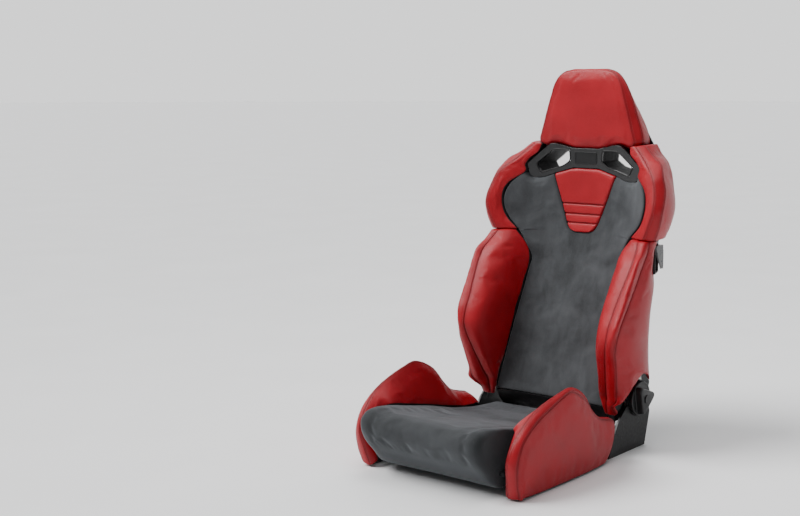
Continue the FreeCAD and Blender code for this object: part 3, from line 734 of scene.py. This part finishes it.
# Shoulder bolster, bottom to top: insert edge, front seam, outer seam, rear corner, rear,
# then the hidden step round the frame tube.
SHOULDER_BOLSTER = [
    ((194, 227, 569), (250, 197, 569), (276, 216, 569), (262, 285, 569), (242, 320, 569), (219, 328, 569),
     (217, 300, 569), (196, 268, 569)),
    ((224, 220, 600), (264, 193, 600), (290, 214, 600), (268, 300, 600), (244, 340, 600), (217, 348, 600),
     (217, 305, 600), (226, 264, 600)),
    ((241, 218, 641), (279, 194, 641), (298, 216, 641), (272, 315, 641), (240, 364, 641), (217, 368, 641),
     (217, 300, 641), (242, 264, 641)),
    ((229, 234, 700), (273, 214, 700), (291, 243, 700), (262, 320, 700), (240, 363, 700), (217, 372, 700),
     (217, 310, 700), (230, 278, 700)),
    ((191, 264, 732), (258, 228, 732), (280, 250, 732), (252, 320, 732), (236, 363, 732), (212, 374, 732),
     (212, 320, 732), (198, 316, 732)),
    ((194, 267, 750), (241, 242, 750), (271, 261, 750), (246, 325, 750), (231, 364, 750), (207, 374, 750),
     (207, 323, 750), (198, 317, 750)),
    ((184, 270, 766), (222, 257, 766), (260, 272, 766), (240, 330, 766), (224, 364, 766), (202, 374, 766),
     (202, 325, 766), (198, 318, 766)),
    ((156, 281, 790), (196, 271, 790), (222, 292, 790), (214, 335, 790), (204, 364, 790), (188, 373, 790),
     (186, 328, 790), (172, 322, 790)),
    ((150, 288, 809), (172, 282, 811), (194, 302, 813), (194, 338, 814), (190, 362, 815), (181, 371, 815),
     (179, 328, 813), (152, 322, 810)),
]


def shoulder_bolster(side, mirror):
    panels = [([0, 1], 3.0, 0), ([1, 2], 2.5, 0), ([2, 3, 4, 5], 3.0, 0), ([5, 6], 0.0, 1), ([6, 7], 0.0, 1),
              ([7, 0], 0.0, 1)]
    loft = Loft(SHOULDER_BOLSTER, panels, {1, 2}, [1, 2], seed=11 + mirror, hidden={3, 4, 5})
    name = "shoulder_bolster_%s_leather" % side
    sewn(loft, name, "backrest", "shoulder_bolster_" + side, (1, 2), mirror=mirror, bulge=2.0)


for build in (cushion_bolster, lateral_bolster, shoulder_bolster):
    both_sides(build)
# ---- middle of the cushion and of the backrest -----------------------------------
def smooth(low, high, value):
    share = np.clip((np.asarray(value, float) - low) / (high - low), 0, 1)
    return share * share * (3 - 2 * share)


def ring_mesh(name, rings, materials, painted_shade, hold):
    """Closed body from rings of equal count; seam, the shade painted along seams and edges, and hold are one
    value per ring point.
    """
    rings = np.asarray(rings, float)
    obj = mesh_object(name, rings.reshape(-1, 3), tube_faces(*rings.shape[:2]), materials)
    add_attribute(obj, "painted_shade", np.asarray(painted_shade).reshape(-1))
    add_attribute(obj, "hold", np.asarray(hold).reshape(-1))
    return obj


# Side view of the cushion's middle: bottom rear, over the top, to the bottom front.
SEAT_PROFILE = [(114, 70), (115, 78), (108, 84), (90, 85.5), (35, 87), (-40, 98), (-120, 117), (-190, 135),
                (-271, 152), (-341, 167), (-385, 173), (-415, 168), (-432, 152), (-435, 130), (-425, 102),
                (-396, 65), (-346, 20), (-336, 18), (-323, 25), (-331, 48), (-357, 51), (-357, 67.5),
                (-330, 67.5)]
SEAT_DISH = 10.0             # its middle lies this much lower than its sides
SEAT_HALF, SEAT_HALF_REAR = 193.0, 185.0


def seat_row(share, inset, front_inset):
    """One side-to-side station of the cushion's middle, drawn in from its outline, more so in front."""
    ring = np.array(SEAT_PROFILE, float)
    step = np.roll(ring, -1, axis=0) - np.roll(ring, 1, axis=0)
    outward = np.stack([-step[:, 1], step[:, 0]], axis=1)
    outward /= np.linalg.norm(outward, axis=1, keepdims=True)
    if np.sum(outward * (ring - ring.mean(axis=0))) < 0:
        outward = -outward
    front = 1 - smooth(-400, -350, ring[:, 0])
    ring -= outward * (inset + (front_inset - inset) * front)[:, None]
    half = SEAT_HALF + (SEAT_HALF_REAR - SEAT_HALF) * smooth(38, 54, ring[:, 0])
    drop = SEAT_DISH * (1 - smooth(0.5, 1.0, abs(share))) * smooth(95, 122, ring[:, 1])
    return [(share * h, y, z - d) for h, (y, z), d in zip(half, ring, drop)]


def seat_insert():
    stations = ((1.0, 6.0, 18.0), (0.99, 3.0, 11.0), (0.972, 1.0, 5.5), (0.945, 0.2, 2.0), (0.91, 0.0, 0.4),
                (0.75, 0.0, 0.0), (0.45, 0.0, 0.0))
    rows = [seat_row(-share, *inset) for share, *inset in stations]
    rows.append(seat_row(0.0, 0.0, 0.0))
    rows += [seat_row(share, *inset) for share, *inset in reversed(stations)]
    ring = list(range(len(SEAT_PROFILE)))
    loft = Loft(rows, [(ring, 0.0, 0), ([ring[-1], 0], 0.0, 0)], set(), [7], seed=21, dents=1.0)
    obj = loft.mesh("seat_insert_suede", [SEAT_SUEDE], 1.0)
    rows, count = loft.points.shape[:2]
    points = coordinates(obj.data)[:rows * count] / MM
    side = np.abs(points[:, 0]) / SEAT_HALF
    # Painted shade, standing also for a black gusset: the ends of the insert darken nearly to black where
    # they run back beside the bolsters.
    edge = np.zeros(len(obj.data.vertices))
    edge[:rows * count] = smooth(0.93, 1.0, side) * smooth(-360, -320, points[:, 1])
    hold = np.ones(len(edge))
    hold[:rows * count] = np.maximum(smooth(0.80, 0.93, side), 1 - smooth(78, 92, points[:, 2]))
    set_attribute(obj, "painted_shade", edge)
    set_attribute(obj, "hold", hold)
    soft_piece(obj, "seat_base", ["seat_insert"], "grey_suede", FILL, cap=2.0, pressure=0.6, spare=0.008)


# Front of the backrest's middle: (z, y); then (z, half width, how far the edge stands ahead).
BACK_LINE = [(118, 121), (300, 183), (450, 234), (566, 273), (650, 288), (745, 294), (820, 295)]
BACK_EDGE = [(118, 188, 7), (300, 171, 10), (450, 155, 11), (490, 152, 12), (530, 169, 33), (566, 190, 48),
             (600, 221, 60), (641, 238, 70), (697, 227, 58), (746, 178, 16)]
DISH_POWER = 2.35
BACK_PAD = 37.0              # thickness of the middle
# Neck pad, half width at each height, and its top under the bezel as (x, z).
NECK = [(566, 18), (568, 28), (571, 35), (575, 41), (580, 45.5), (590, 51.5), (728, 104)]
UNDER_BEZEL = [(0, 744.5), (43, 744.5), (100, 728.5), (135, 715.5), (168, 710), (181, 718), (186, 722),
               (194, 745)]
NECK_FOOT, PAD_TOP, SQUEEZE_FROM = 566.0, 744.0, 690.0
POCKET = 24.0
NECK_PROUD = 4.5
NECK_CHANNELS = (592.0, 617.0, 645.0)


def back_depth(x, z):
    """Front face of the backrest's middle; its edges stand ahead of its centre."""
    line = line_at(BACK_LINE, z)[:, 0]
    ahead = line_at([(row[0], row[2]) for row in BACK_EDGE], z)[:, 0]
    return line - ahead * np.minimum(np.abs(x) / back_half(z), 1.0) ** DISH_POWER


def back_half(z):
    return line_at([row[:2] for row in BACK_EDGE], z)[:, 0]


def neck_half(z):
    squeezed = np.where(z > SQUEEZE_FROM, SQUEEZE_FROM + (z - SQUEEZE_FROM) * 0.7, z)
    return np.interp(squeezed, [row[0] for row in NECK], [row[1] for row in NECK])


def under_bezel(x, z):
    """Height drawn down so that the pad's top follows the bezel's lower edge."""
    top = np.interp(np.abs(x), [p[0] for p in UNDER_BEZEL], [p[1] for p in UNDER_BEZEL])
    share = (z - SQUEEZE_FROM) / (PAD_TOP - SQUEEZE_FROM)
    return np.where(z > SQUEEZE_FROM, SQUEEZE_FROM + share * (top - SQUEEZE_FROM), z)


def place_on_back(x, z, depth):
    """Point at x, moved behind the dished front face by the depth."""
    height = np.full(len(x), float(z))
    return np.stack([x, back_depth(x, height) + depth, under_bezel(x, height)], axis=1)


def both_ways(half_line):
    """Mirror the +X half of a row onto -X, from -X to +X."""
    mirrored = half_line[:0:-1] * (-1, 1, 1)
    return np.concatenate([mirrored, half_line])


def insert_ring(z, pocket, set_back):
    """Row of the insert's skin: pocket floor, pocket lip, field, rolled edge and the back."""
    half, neck = back_half(z)[0] - 1.0, float(neck_half(z)) + 0.8
    inner = np.linspace(0, neck, 7)
    lip = neck + np.array([0.25, 1.2, 3.0])
    field = np.linspace(lip[-1], half - 9.0, 18)[1:]
    edge = half - np.array([5.5, 3.0, 1.0, 0.0])
    x = np.concatenate([inner, lip, field, edge])
    depth = np.zeros(len(x))
    depth[:7] = POCKET * pocket
    depth[7:10] = np.array([3.2, 1.0, 0.2]) * pocket
    depth[-4:] = (0.5, 1.6, 4.2, 9.0)
    front = both_ways(place_on_back(x, z, depth + set_back))
    back_x = np.array([0.0, half * 0.5, half - 7.0, half])
    back = both_ways(place_on_back(back_x, z, np.array([BACK_PAD] * 3 + [BACK_PAD - 7.0])))
    away = np.minimum(np.abs(x - neck) if pocket else 99.0, half - x)
    # Painted shade: the suede darkens towards the neck pocket's lip and the rolled edges.
    closeness = np.exp(-away / 3.5)
    painted_shade = np.concatenate([closeness[:0:-1], closeness, np.zeros(len(back))])
    held = np.clip(1.1 - away / 30.0, 0.0, 1.0)
    held[:10] = 1.0
    hold = np.concatenate([held[:0:-1], held, np.ones(len(back))])
    return np.concatenate([front, back[::-1]]), painted_shade, hold


def back_insert():
    rows = [(121.5, 0, 5.0), (122.5, 0, 2.2), (125.0, 0, 0.7), (130.0, 0, 0.1)]
    rows += [(z, 0, 0.0) for z in np.arange(138.0, NECK_FOOT - 5.0, 5.5)]
    rows += [(NECK_FOOT - 3.2, 0, 0.1), (NECK_FOOT - 1.6, 0, 0.6), (NECK_FOOT - 0.9, 0, 2.4)]
    rows += [(NECK_FOOT - 0.8, 1, 0.0), (567.2, 1, 0.0), (569.0, 1, 0.0), (571.5, 1, 0.0), (575.0, 1, 0.0)]
    rows += [(z, 1, 0.0) for z in np.arange(580.0, PAD_TOP + 0.1, 5.46)]
    rings, seams, holds = [], [], []
    for z, pocket, set_back in rows:
        ring, painted_shade, hold = insert_ring(z, pocket, set_back if z < 200 else 0.0)
        if 0 < set_back < 3 and z > 200:
            beside = np.abs(ring[:, 0]) < neck_half(z) + 2.0
            ring[beside, 1] += set_back
        rings.append(ring)
        seams.append(painted_shade)
        holds.append(hold if 140 < z < PAD_TOP - 20 else np.ones(len(hold)))
    rings = np.array(rings)
    front = len(rings[0]) - 7
    swell = 0.9 * soft_noise(rings[:, :front], 70.0, 31)
    rings[:, :front, 1] -= swell * (1 - np.array(seams)[:, :front])
    obj = ring_mesh("back_insert_suede", rings, [SUEDE], seams, holds)
    soft_piece(obj, "backrest", ["back_insert"], "grey_suede", FILL, pressure=0.5, spare=0.005)


def neck_ring(z, set_back):
    half = float(neck_half(z)) - 0.4
    x = np.concatenate([np.linspace(0, half - 7.0, 9), half - np.array([5.0, 3.2, 1.7, 0.6, 0.0])])
    roll = np.clip((half - x) / 7.0, 0, 1)
    proud = NECK_PROUD * (1 - (1 - roll) ** 2.4)
    for channel in NECK_CHANNELS:
        proud -= 3.4 * np.exp(-((z - channel) / 1.7) ** 2)
        proud -= 1.1 * np.exp(-((z - channel) / 5.0) ** 2)
    depth = np.minimum(set_back - proud, POCKET - 6.0)
    front = both_ways(place_on_back(x, z, depth))
    back_x = np.array([0.0, half * 0.6, half - 0.2])
    back = both_ways(place_on_back(back_x, z, np.full(3, POCKET - 2.5)))
    return np.concatenate([front, back[::-1]])


def neck_pad():
    rows = [(566.3, 6.0), (566.9, 3.0), (568.0, 1.2), (570.0, 0.3), (572.5, 0.0)]
    beside = np.array([-5.5, -4.0, -2.8, -1.8, -0.9, 0.0, 0.9, 1.8, 2.8, 4.0, 5.5])
    heights = set(np.round(np.arange(576.0, 730.0, 4.5), 1))
    for channel in NECK_CHANNELS:
        heights = {z for z in heights if abs(z - channel) > 7.0}
        heights |= set(channel + beside)
    rows += [(z, 0.0) for z in sorted(heights)]
    rows += [(736.0, 0.6), (740.0, 1.8), (742.6, 4.0), (743.8, 7.0)]
    rings = np.array([neck_ring(z, set_back) for z, set_back in rows])
    # Painted shade: the leather darkens in the stitched channel grooves.
    painted_shade = np.zeros(rings.shape[:2])
    for channel in NECK_CHANNELS:
        painted_shade = np.maximum(painted_shade, np.exp(-np.abs(rings[:, :, 2] - channel) / 1.6))
    obj = ring_mesh("neck_pad_leather", rings, [LEATHER], painted_shade, np.ones(rings.shape[:2]))
    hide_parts("neck_pad")
    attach(obj, "backrest")


# Head pad, bottom to top: z, half width and y of the front seam, of the outer seam and of
# the rear edge, then the share of the bezel's outline that its front follows.
HEAD_ROWS = [
    (800, 128, 310, 131, 330, 128, 366, 1.0), (804, 134, 304, 137, 328, 134, 370, 1.0),
    (808, 144, 299, 150, 322, 146, 372, 1.0), (814, 156, 296.5, 169, 318, 160, 373, 1.0),
    (825, 159, 295, 174, 316, 162, 374, 0.6), (841, 154, 295, 171, 318, 158, 374, 0.15),
    (894, 140, 295, 152, 320, 136, 368, 0.0), (945, 124, 296, 134, 322, 112, 354, 0.0),
    (985, 110, 298, 115, 322, 93, 336, 0.0), (1000, 100, 300, 104, 321, 86, 331, 0.0),
    (1010, 88, 303, 92, 320, 78, 328, 0.0), (1017, 72, 307, 76, 318, 66, 324, 0.0),
    (1020, 58, 311, 61, 317, 55, 321, 0.0),
]
BEZEL_RISE = [(0, 0), (43, 0), (100, 12), (118, 11), (135, 2), (145, 0)]
FRONT_SHARES = (-1.0, -0.85, -0.68, -0.34, 0.0, 0.34, 0.68, 0.85, 1.0)


def head_pad():
    rows = []
    for z, front, y0, wide, y1, rear, y2, follow in HEAD_ROWS:
        row = []
        for share in FRONT_SHARES:
            x = share * front
            rise = np.interp(abs(x), [p[0] for p in BEZEL_RISE], [p[1] for p in BEZEL_RISE])
            row.append((x, y0, z + rise * follow))
        row += [(wide, y1, z), (rear, y2, z), (-rear, y2, z), (-wide, y1, z)]
        rows.append(row)
    last = len(FRONT_SHARES) - 1
    outer, rear, far_rear, far_outer = range(last + 1, last + 5)
    panels = [(list(range(last + 1)), 2.0, 0), ([last, outer], 1.2, 0), ([outer, rear], 2.0, 0),
              ([rear, far_rear], 0.0, 0), ([far_rear, far_outer], 2.0, 0), ([far_outer, 0], 1.2, 0)]
    loft = Loft(rows, panels, {0, last, outer, far_outer}, [4, last], seed=15, dents=0.8)
    sewn(loft, "head_pad_leather", "backrest", "head_pad", (0, last, outer, far_outer),
         single=(outer, far_outer), bulge=1.0, pressure=1.0)


for build in (seat_insert, back_insert, neck_pad, head_pad):
    build()


# ---- hard pieces -----------------------------------------------------------------
FINISH = {"red_leather": LEATHER, "grey_suede": SUEDE, "black_steel": STEEL, "zinc_steel": ZINC,
          "spring_wire": WIRE, "satin_plastic": SATIN, "gloss_plastic": GLOSS, "dial_plastic": DIAL}
NODE_SLOT = {piece["node"]: piece["material_slot"] for piece in frame["record"]["subparts"]}


SHARP_FROM = radians(28)         # edges turned by more than this are rounded over
MERGE = 0.02                     # mm between points that are one


def shade(obj, angle=32.0):
    """Smooth shading inside each face group, sharp at the real edges."""
    obj.data.polygons.foreach_set("use_smooth", [True] * len(obj.data.polygons))
    obj.data.set_sharp_from_angle(angle=radians(angle))


def stand_in(obj, body, nodes):
    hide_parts(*nodes)
    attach(obj, body)
    return obj


def machined(node, width=0.8, segments=2, material=None):
    """The CAD piece with its edges rounded over."""
    source = frame["nodes"][node]
    bm = bmesh.new()
    bm.from_mesh(source.data)
    bmesh.ops.remove_doubles(bm, verts=bm.verts, dist=MERGE * MM)
    bmesh.ops.dissolve_limit(bm, angle_limit=radians(1.5), verts=bm.verts, edges=bm.edges)
    sharp = [e for e in bm.edges if len(e.link_faces) == 2 and e.calc_face_angle(0.0) > SHARP_FROM]
    bmesh.ops.bevel(bm, geom=sharp, offset=width * MM, segments=segments, profile=0.5, affect="EDGES",
                    clamp_overlap=True)
    data = bpy.data.meshes.new(node + "_shape")
    bm.to_mesh(data)
    bm.free()
    data.materials.append(material or FINISH[NODE_SLOT[node]])
    obj = bpy.data.objects.new(node + "_shape", data)
    bpy.context.scene.collection.objects.link(obj)
    shade(obj)
    normals = obj.modifiers.new("normals", "WEIGHTED_NORMAL")
    normals.keep_sharp = True
    return stand_in(obj, source["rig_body"], [node])


def lathe(name, profile, turns, material):
    """Ring or disc about the recliner axis from (radius, x) points; the profile is closed."""
    verts = []
    for k in range(turns):
        angle = 2 * pi * k / turns
        for radius, x in profile:
            verts.append((x, PIVOT[0] + radius * cos(angle), PIVOT[1] + radius * sin(angle)))
    obj = mesh_object(name, verts, tube_faces(turns, len(profile), loop=True), [material])
    shade(obj)
    return obj


DIAL_BOX = [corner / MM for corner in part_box("recline_dial_left")]
PIVOT = ((DIAL_BOX[0].y + DIAL_BOX[1].y) / 2, (DIAL_BOX[0].z + DIAL_BOX[1].z) / 2)
DIAL_X0 = DIAL_BOX[0].x
DIAL_R = (DIAL_BOX[1].y - DIAL_BOX[0].y) / 2
GRIP_FLAT, GRIP_LOBE = 26.6, 43.5
GRIP_FACING = (radians(70), radians(190), radians(310))
GRIP_STEPS = [(8.2, 1.05), (9.8, 1.008), (11.0, 1.0), (21.0, 0.965), (24.4, 0.94), (26.0, 0.915),
              (26.9, 0.88), (27.2, 0.84)]
GRIP_CORNER = 16.0           # how tightly the grip's corners are rounded


def grip_radius(angle):
    flat = GRIP_FLAT / max(cos(angle - facing) for facing in GRIP_FACING)
    return (flat ** -GRIP_CORNER + GRIP_LOBE ** -GRIP_CORNER) ** (-1 / GRIP_CORNER)


def dial(side, mirror):
    """Adjuster: a disc with a rounded rim and a raised three-sided grip."""
    flip = -1 if mirror else 1
    face = DIAL_X0 + 9.0
    rim = [(7.0, DIAL_X0), (DIAL_R - 2.5, DIAL_X0), (DIAL_R - 0.6, DIAL_X0 + 0.8), (DIAL_R, DIAL_X0 + 2.6),
           (DIAL_R, face - 2.4), (DIAL_R - 0.7, face - 0.8), (DIAL_R - 2.4, face), (DIAL_R - 5.0, face + 0.1),
           (DIAL_R - 6.0, face - 0.8), (7.0, face - 0.8)]
    turns = 96
    disc_part = lathe("recline_dial_%s_disc" % side, [(r, flip * x) for r, x in rim], turns, DIAL)
    verts = []
    for step, scale in GRIP_STEPS:
        for k in range(turns):
            angle = 2 * pi * k / turns
            radius = scale * grip_radius(angle)
            y, z = PIVOT[0] + radius * cos(angle), PIVOT[1] + radius * sin(angle)
            verts.append((flip * (DIAL_X0 + step), y, z))
    grip = mesh_object("recline_dial_%s_grip" % side, verts, tube_faces(len(GRIP_STEPS), turns), [DIAL])
    shade(grip, 20.0)
    stand_in(grip, "recline_drive", ["recline_dial_" + side])
    disc_part.parent = grip


RIBS, RIB_INNER, RIB_ROOT, RIB_OUTER = 60, 46.6, 48.2, 49.6


def ribbed_ring(side, mirror):
    """Ribbed collar on the bracket, seen between the dial and the arch over it."""
    flip = -1 if mirror else 1
    low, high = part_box("side_bracket_left")[1].x / MM, DIAL_X0 - 0.3
    verts = []
    steps = RIBS * 4
    for k in range(steps):
        angle = 2 * pi * k / steps
        radius = RIB_OUTER if k % 4 in (0, 1) else RIB_ROOT
        for r, x in ((RIB_INNER, low), (radius, low), (radius, high), (RIB_INNER, high)):
            verts.append((flip * x, PIVOT[0] + r * cos(angle), PIVOT[1] + r * sin(angle)))
    faces = tube_faces(steps, 4, loop=True)
    obj = mesh_object("recliner_collar_" + side, verts, faces, [SATIN], smooth=False)
    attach(obj, "seat_base")


# Rear shell: (z, half width) and (z, y of its rear face); the edges roll forwards.
SHELL_HALF = [(168, 200), (200, 204), (230, 206), (332, 206), (365, 209), (395, 212), (700, 212), (735, 207),
              (765, 199), (815, 172), (880, 138), (960, 100), (1004, 78)]
SHELL_REAR = [(168, 282), (230, 298), (450, 305), (560, 338), (650, 376), (700, 383), (850, 381), (900, 374),
              (960, 356), (1004, 334)]
SHELL_T, SHELL_ROLL, SHELL_LIP = 3.0, 9.0, 3.0
REAR_BEZEL = [(115, 808), (178, 758), (160, 714), (76, 738)]     # right half of the opening


def shell_section(z, inset):
    """Across the shell, left to right, its skin set forwards by the inset."""
    half = float(line_at(SHELL_HALF, z)[0, 0]) - inset
    rear = float(line_at(SHELL_REAR, z)[0, 0]) - inset
    roll = SHELL_ROLL - inset
    line = [(half, rear - roll - SHELL_LIP)]
    for k in range(7):
        angle = k * pi / 12
        line.append((half - roll + roll * cos(angle), rear - roll + roll * sin(angle)))
    line += [(x * (half - roll), rear + 1.6 * (1 - x * x)) for x in (0.93, 0.8, 0.62, 0.44, 0.25, 0.08)]
    right = [(x, y, z) for x, y in line]
    return right + [(-x, y, z) for x, y, z in reversed(right)]


def back_shell():
    """Rear shell in one moulding, opened for the harness bezel."""
    heights = [168, 169, 171.5, 176] + list(np.arange(184, 992, 8)) + [997, 1001, 1003.2, 1004]
    forward = {168: 6, 169: 3, 171.5: 1, 1001: 1.2, 1003.2: 3.2, 1004: 6, 997: 0.3}
    rings = []
    for z in heights:
        shift = np.array([0, -forward.get(z, 0), 0])
        outside = np.array(shell_section(z, 0.0)) + shift
        inside = np.array(shell_section(z, SHELL_T)) + shift
        rings.append(np.concatenate([outside, inside[::-1]]))
    rings = np.array(rings)
    nothing = np.zeros(rings.shape[:2])
    obj = ring_mesh("back_shell", rings, [SATIN], nothing, nothing)
    half = [(x * 1.003, z) for x, z in REAR_BEZEL]
    outline = half + [(-x, z) for x, z in reversed(half)]
    verts = [(x, y, z) for y in (330.0, 400.0) for x, z in outline]
    cutter = mesh_object("cutter", verts, tube_faces(2, len(outline)), [SATIN], smooth=False)
    cut = obj.modifiers.new("opening", "BOOLEAN")
    cut.object = cutter
    cut.solver = "EXACT"
    cut.operation = "DIFFERENCE"
    opened = bpy.data.meshes.new_from_object(obj.evaluated_get(bpy.context.evaluated_depsgraph_get()))
    obj.modifiers.clear()
    obj.data = opened
    bpy.data.objects.remove(cutter)
    shade(obj, 40.0)
    stand_in(obj, "backrest", ["back_panel_lower", "back_panel_middle", "back_panel_upper"])


SLOT = [(55, 796), (108, 797), (164, 755), (150, 729), (76, 750), (52, 766)]
BEZEL_FACE, BEZEL_BOW = 294.5, 20.0
FIELD = [(-36, 757), (36, 757), (38, 762), (38, 786), (36, 791), (-36, 791), (-38, 786), (-38, 762)]
FIELD_Z = 774.0


def rounded(points, radius):
    """Closed outline with its corners rounded."""
    points = [np.array(p, float) for p in points]
    result = []
    for before, at, after in zip(points[-1:] + points, points, points[1:] + points[:1]):
        u, w = before - at, after - at
        reach = min(radius, 0.45 * np.linalg.norm(u), 0.45 * np.linalg.norm(w))
        first = at + u / np.linalg.norm(u) * reach
        last = at + w / np.linalg.norm(w) * reach
        for share in np.linspace(0, 1, 5):
            result.append((1 - share) ** 2 * first + 2 * share * (1 - share) * at + share ** 2 * last)
    return result


def bezel_depth(x):
    return BEZEL_FACE - BEZEL_BOW * (x / 200.0) ** 2


def rim(name, outline, thick, proud):
    """Bead that runs round an opening on the bowed front face."""
    ring = rounded(outline, 9.0)
    dense = []
    for a, b in zip(ring, ring[1:] + ring[:1]):
        count = max(1, int(np.linalg.norm(b - a) / 5.0))
        dense += [a + (b - a) * k / count for k in range(count)]
    centre = [np.array((x, bezel_depth(x) - proud, z)) for x, z in dense]
    verts = []
    total, sides = len(centre), 8
    for i, at in enumerate(centre):
        along = centre[(i + 1) % total] - centre[i - 1]
        side = np.cross(along, (0, 1, 0))
        side = side / np.linalg.norm(side)
        for k in range(sides):
            angle = 2 * pi * k / sides
            verts.append(at + side * thick * cos(angle) + np.array((0, thick * sin(angle), 0)))
    return mesh_object(name, verts, tube_faces(total, sides, loop=True), [SATIN])


def bridge_plate():
    """Flat label field between the slots, left blank, with a step round it."""
    outline = rounded(FIELD, 3.0)
    verts = []
    levels = ((1.0, 1.0), (1.0, -1.3), (0.965, -2.0), (0.90, -2.0), (0.885, -1.0))
    for scale, depth in levels:
        for x, z in outline:
            verts.append((x * scale, bezel_depth(x) + depth, FIELD_Z + (z - FIELD_Z) * scale))
    obj = mesh_object("front_bezel_field", verts, tube_faces(len(levels), len(outline)), [SATIN])
    shade(obj)
    return obj


def harness_bezel():
    plate = machined("front_bezel", 2.6, 4)
    extras = [rim("front_bezel_rim_left", SLOT, 1.7, 0.3)]
    extras.append(rim("front_bezel_rim_right", [(-x, z) for x, z in SLOT], 1.7, 0.3))
    extras.append(bridge_plate())
    for extra in extras:
        extra.parent = plate


LEVER_AT, LEVER_TURN = (248.0, 273.5, 514.0), radians(22.2)


def lever_grip(side, mirror):
    """Pull with moulded grip bars along its outer edge."""
    flip = -1 if mirror else 1
    pull = machined("release_lever_" + side, 1.2, 3, LEVER)
    verts, faces = [], []
    turn = Matrix.Rotation(LEVER_TURN, 3, "Z")
    for up in np.arange(-22.0, 31.0, 4.4):
        base = len(verts)
        outer = 14.6 if up < 20 else 13.8
        for height in (up - 1.1, up + 1.1):
            for out, rearward in ((-2.0, 15.0), (0.7, 17.0), (0.7, 21.6), (-2.0, 22.6)):
                spot = turn @ Vector((outer + out, rearward, height))
                verts.append((flip * (spot.x + LEVER_AT[0]), spot.y + LEVER_AT[1], spot.z + LEVER_AT[2]))
        faces += [tuple(base + i for i in quad) for quad in tube_faces(2, 4)]
    bars = mesh_object("release_lever_%s_grip" % side, verts, faces, [DIAL], smooth=False)
    bars.parent = pull


for build in (dial, ribbed_ring, lever_grip):
    both_sides(build)
harness_bezel()
back_shell()
for side in ("left", "right"):
    machined("side_bracket_" + side, 0.9, 3)
    machined("lever_bezel_" + side, 1.2, 3)
    machined("back_side_plate_" + side, 0.6)
    machined("recliner_arm_" + side, 0.6)
machined("rear_bezel", 2.0, 3)
machined("back_valance", 0.6)
for node, source in frame["nodes"].items():
    source.data.materials.clear()
    source.data.materials.append(LINING if node.startswith("harness_tunnel") else FINISH[NODE_SLOT[node]])




# ---- floor, light and camera -----------------------------------------------------
def disc(name, radius, z, material):
    bm = bmesh.new()
    bmesh.ops.create_circle(bm, cap_ends=True, segments=96, radius=radius)
    data = bpy.data.meshes.new(name)
    bm.to_mesh(data)
    bm.free()
    data.materials.append(material)
    obj = bpy.data.objects.new(name, data)
    obj.location.z = z
    bpy.context.scene.collection.objects.link(obj)
    return obj


def floor():
    look = Look("pale_floor")
    look.colour(look.ramp(look.noise(400.0, 3.0), (0.3, (0.84, 0.84, 0.845)), (0.7, (0.87, 0.87, 0.875))))
    look.set(Roughness=0.55)
    disc("floor", 60.0, 0.0, look.material)


def area_light(name, at, target, size, power):
    data = bpy.data.lights.new(name, "AREA")
    data.shape = "RECTANGLE"
    data.size, data.size_y = size
    data.energy = power
    obj = bpy.data.objects.new(name, data)
    obj.location = at
    obj.rotation_euler = (Vector(at) - Vector(target)).to_track_quat("Z", "Y").to_euler()
    bpy.context.scene.collection.objects.link(obj)


def studio_light():
    """Soft key from the left, and a surround that is bright only behind the seat."""
    world = bpy.data.worlds.new("studio")
    world.use_nodes = True
    tree = world.node_tree
    direction = tree.nodes.new("ShaderNodeTexCoord").outputs["Generated"]
    facing = tree.nodes.new("ShaderNodeVectorMath")
    facing.operation = "DOT_PRODUCT"
    facing.inputs[1].default_value = BACKDROP
    tree.links.new(direction, facing.inputs[0])
    ramp = tree.nodes.new("ShaderNodeValToRGB")
    stops = ramp.color_ramp.elements
    stops[0].position, stops[1].position = 0.1, 0.85
    stops[0].color, stops[1].color = (*SURROUND, 1), (*BEHIND, 1)
    tree.links.new(facing.outputs["Value"], ramp.inputs["Fac"])
    tree.links.new(ramp.outputs["Color"], tree.nodes["Background"].inputs["Color"])
    bpy.context.scene.world = world
    sun = bpy.data.lights.new("key", "SUN")
    sun.energy, sun.angle = KEY_ENERGY, radians(KEY_ANGLE)
    key = bpy.data.objects.new("key", sun)
    key.rotation_euler = Vector(KEY_FROM).to_track_quat("Z", "Y").to_euler()
    bpy.context.scene.collection.objects.link(key)
    area_light("top", (0.3, -0.2, 2.9), (0.0, 0.0, 0.55), (1.6, 1.3), 30)


BACKDROP = (-0.588, 0.809, 0.0)      # where the seat stands against, seen from the camera
SURROUND, BEHIND = (0.30, 0.305, 0.31), (1.34, 1.345, 1.35)
KEY_FROM, KEY_ENERGY, KEY_ANGLE = (-0.95, -0.75, 1.35), 4.0, 34.0
CAMERA_AT = (1.993, -2.633, 0.9885)
CAMERA_AZIMUTH, CAMERA_ELEVATION = 36.0, 8.1977
CAMERA_LENS = 56.57
CAMERA_SHIFT = (-0.1843, 0.0052)


def camera():
    data = bpy.data.cameras.new("camera")
    data.sensor_width = 36.0
    data.lens = CAMERA_LENS
    data.shift_x, data.shift_y = CAMERA_SHIFT
    obj = bpy.data.objects.new("camera", data)
    azimuth, elevation = radians(CAMERA_AZIMUTH), radians(CAMERA_ELEVATION)
    back = Vector((sin(azimuth) * cos(elevation), -cos(azimuth) * cos(elevation), sin(elevation)))
    obj.location = CAMERA_AT
    obj.rotation_euler = back.to_track_quat("Z", "Y").to_euler()
    bpy.context.scene.collection.objects.link(obj)
    bpy.context.scene.camera = obj


floor()
studio_light()
camera()
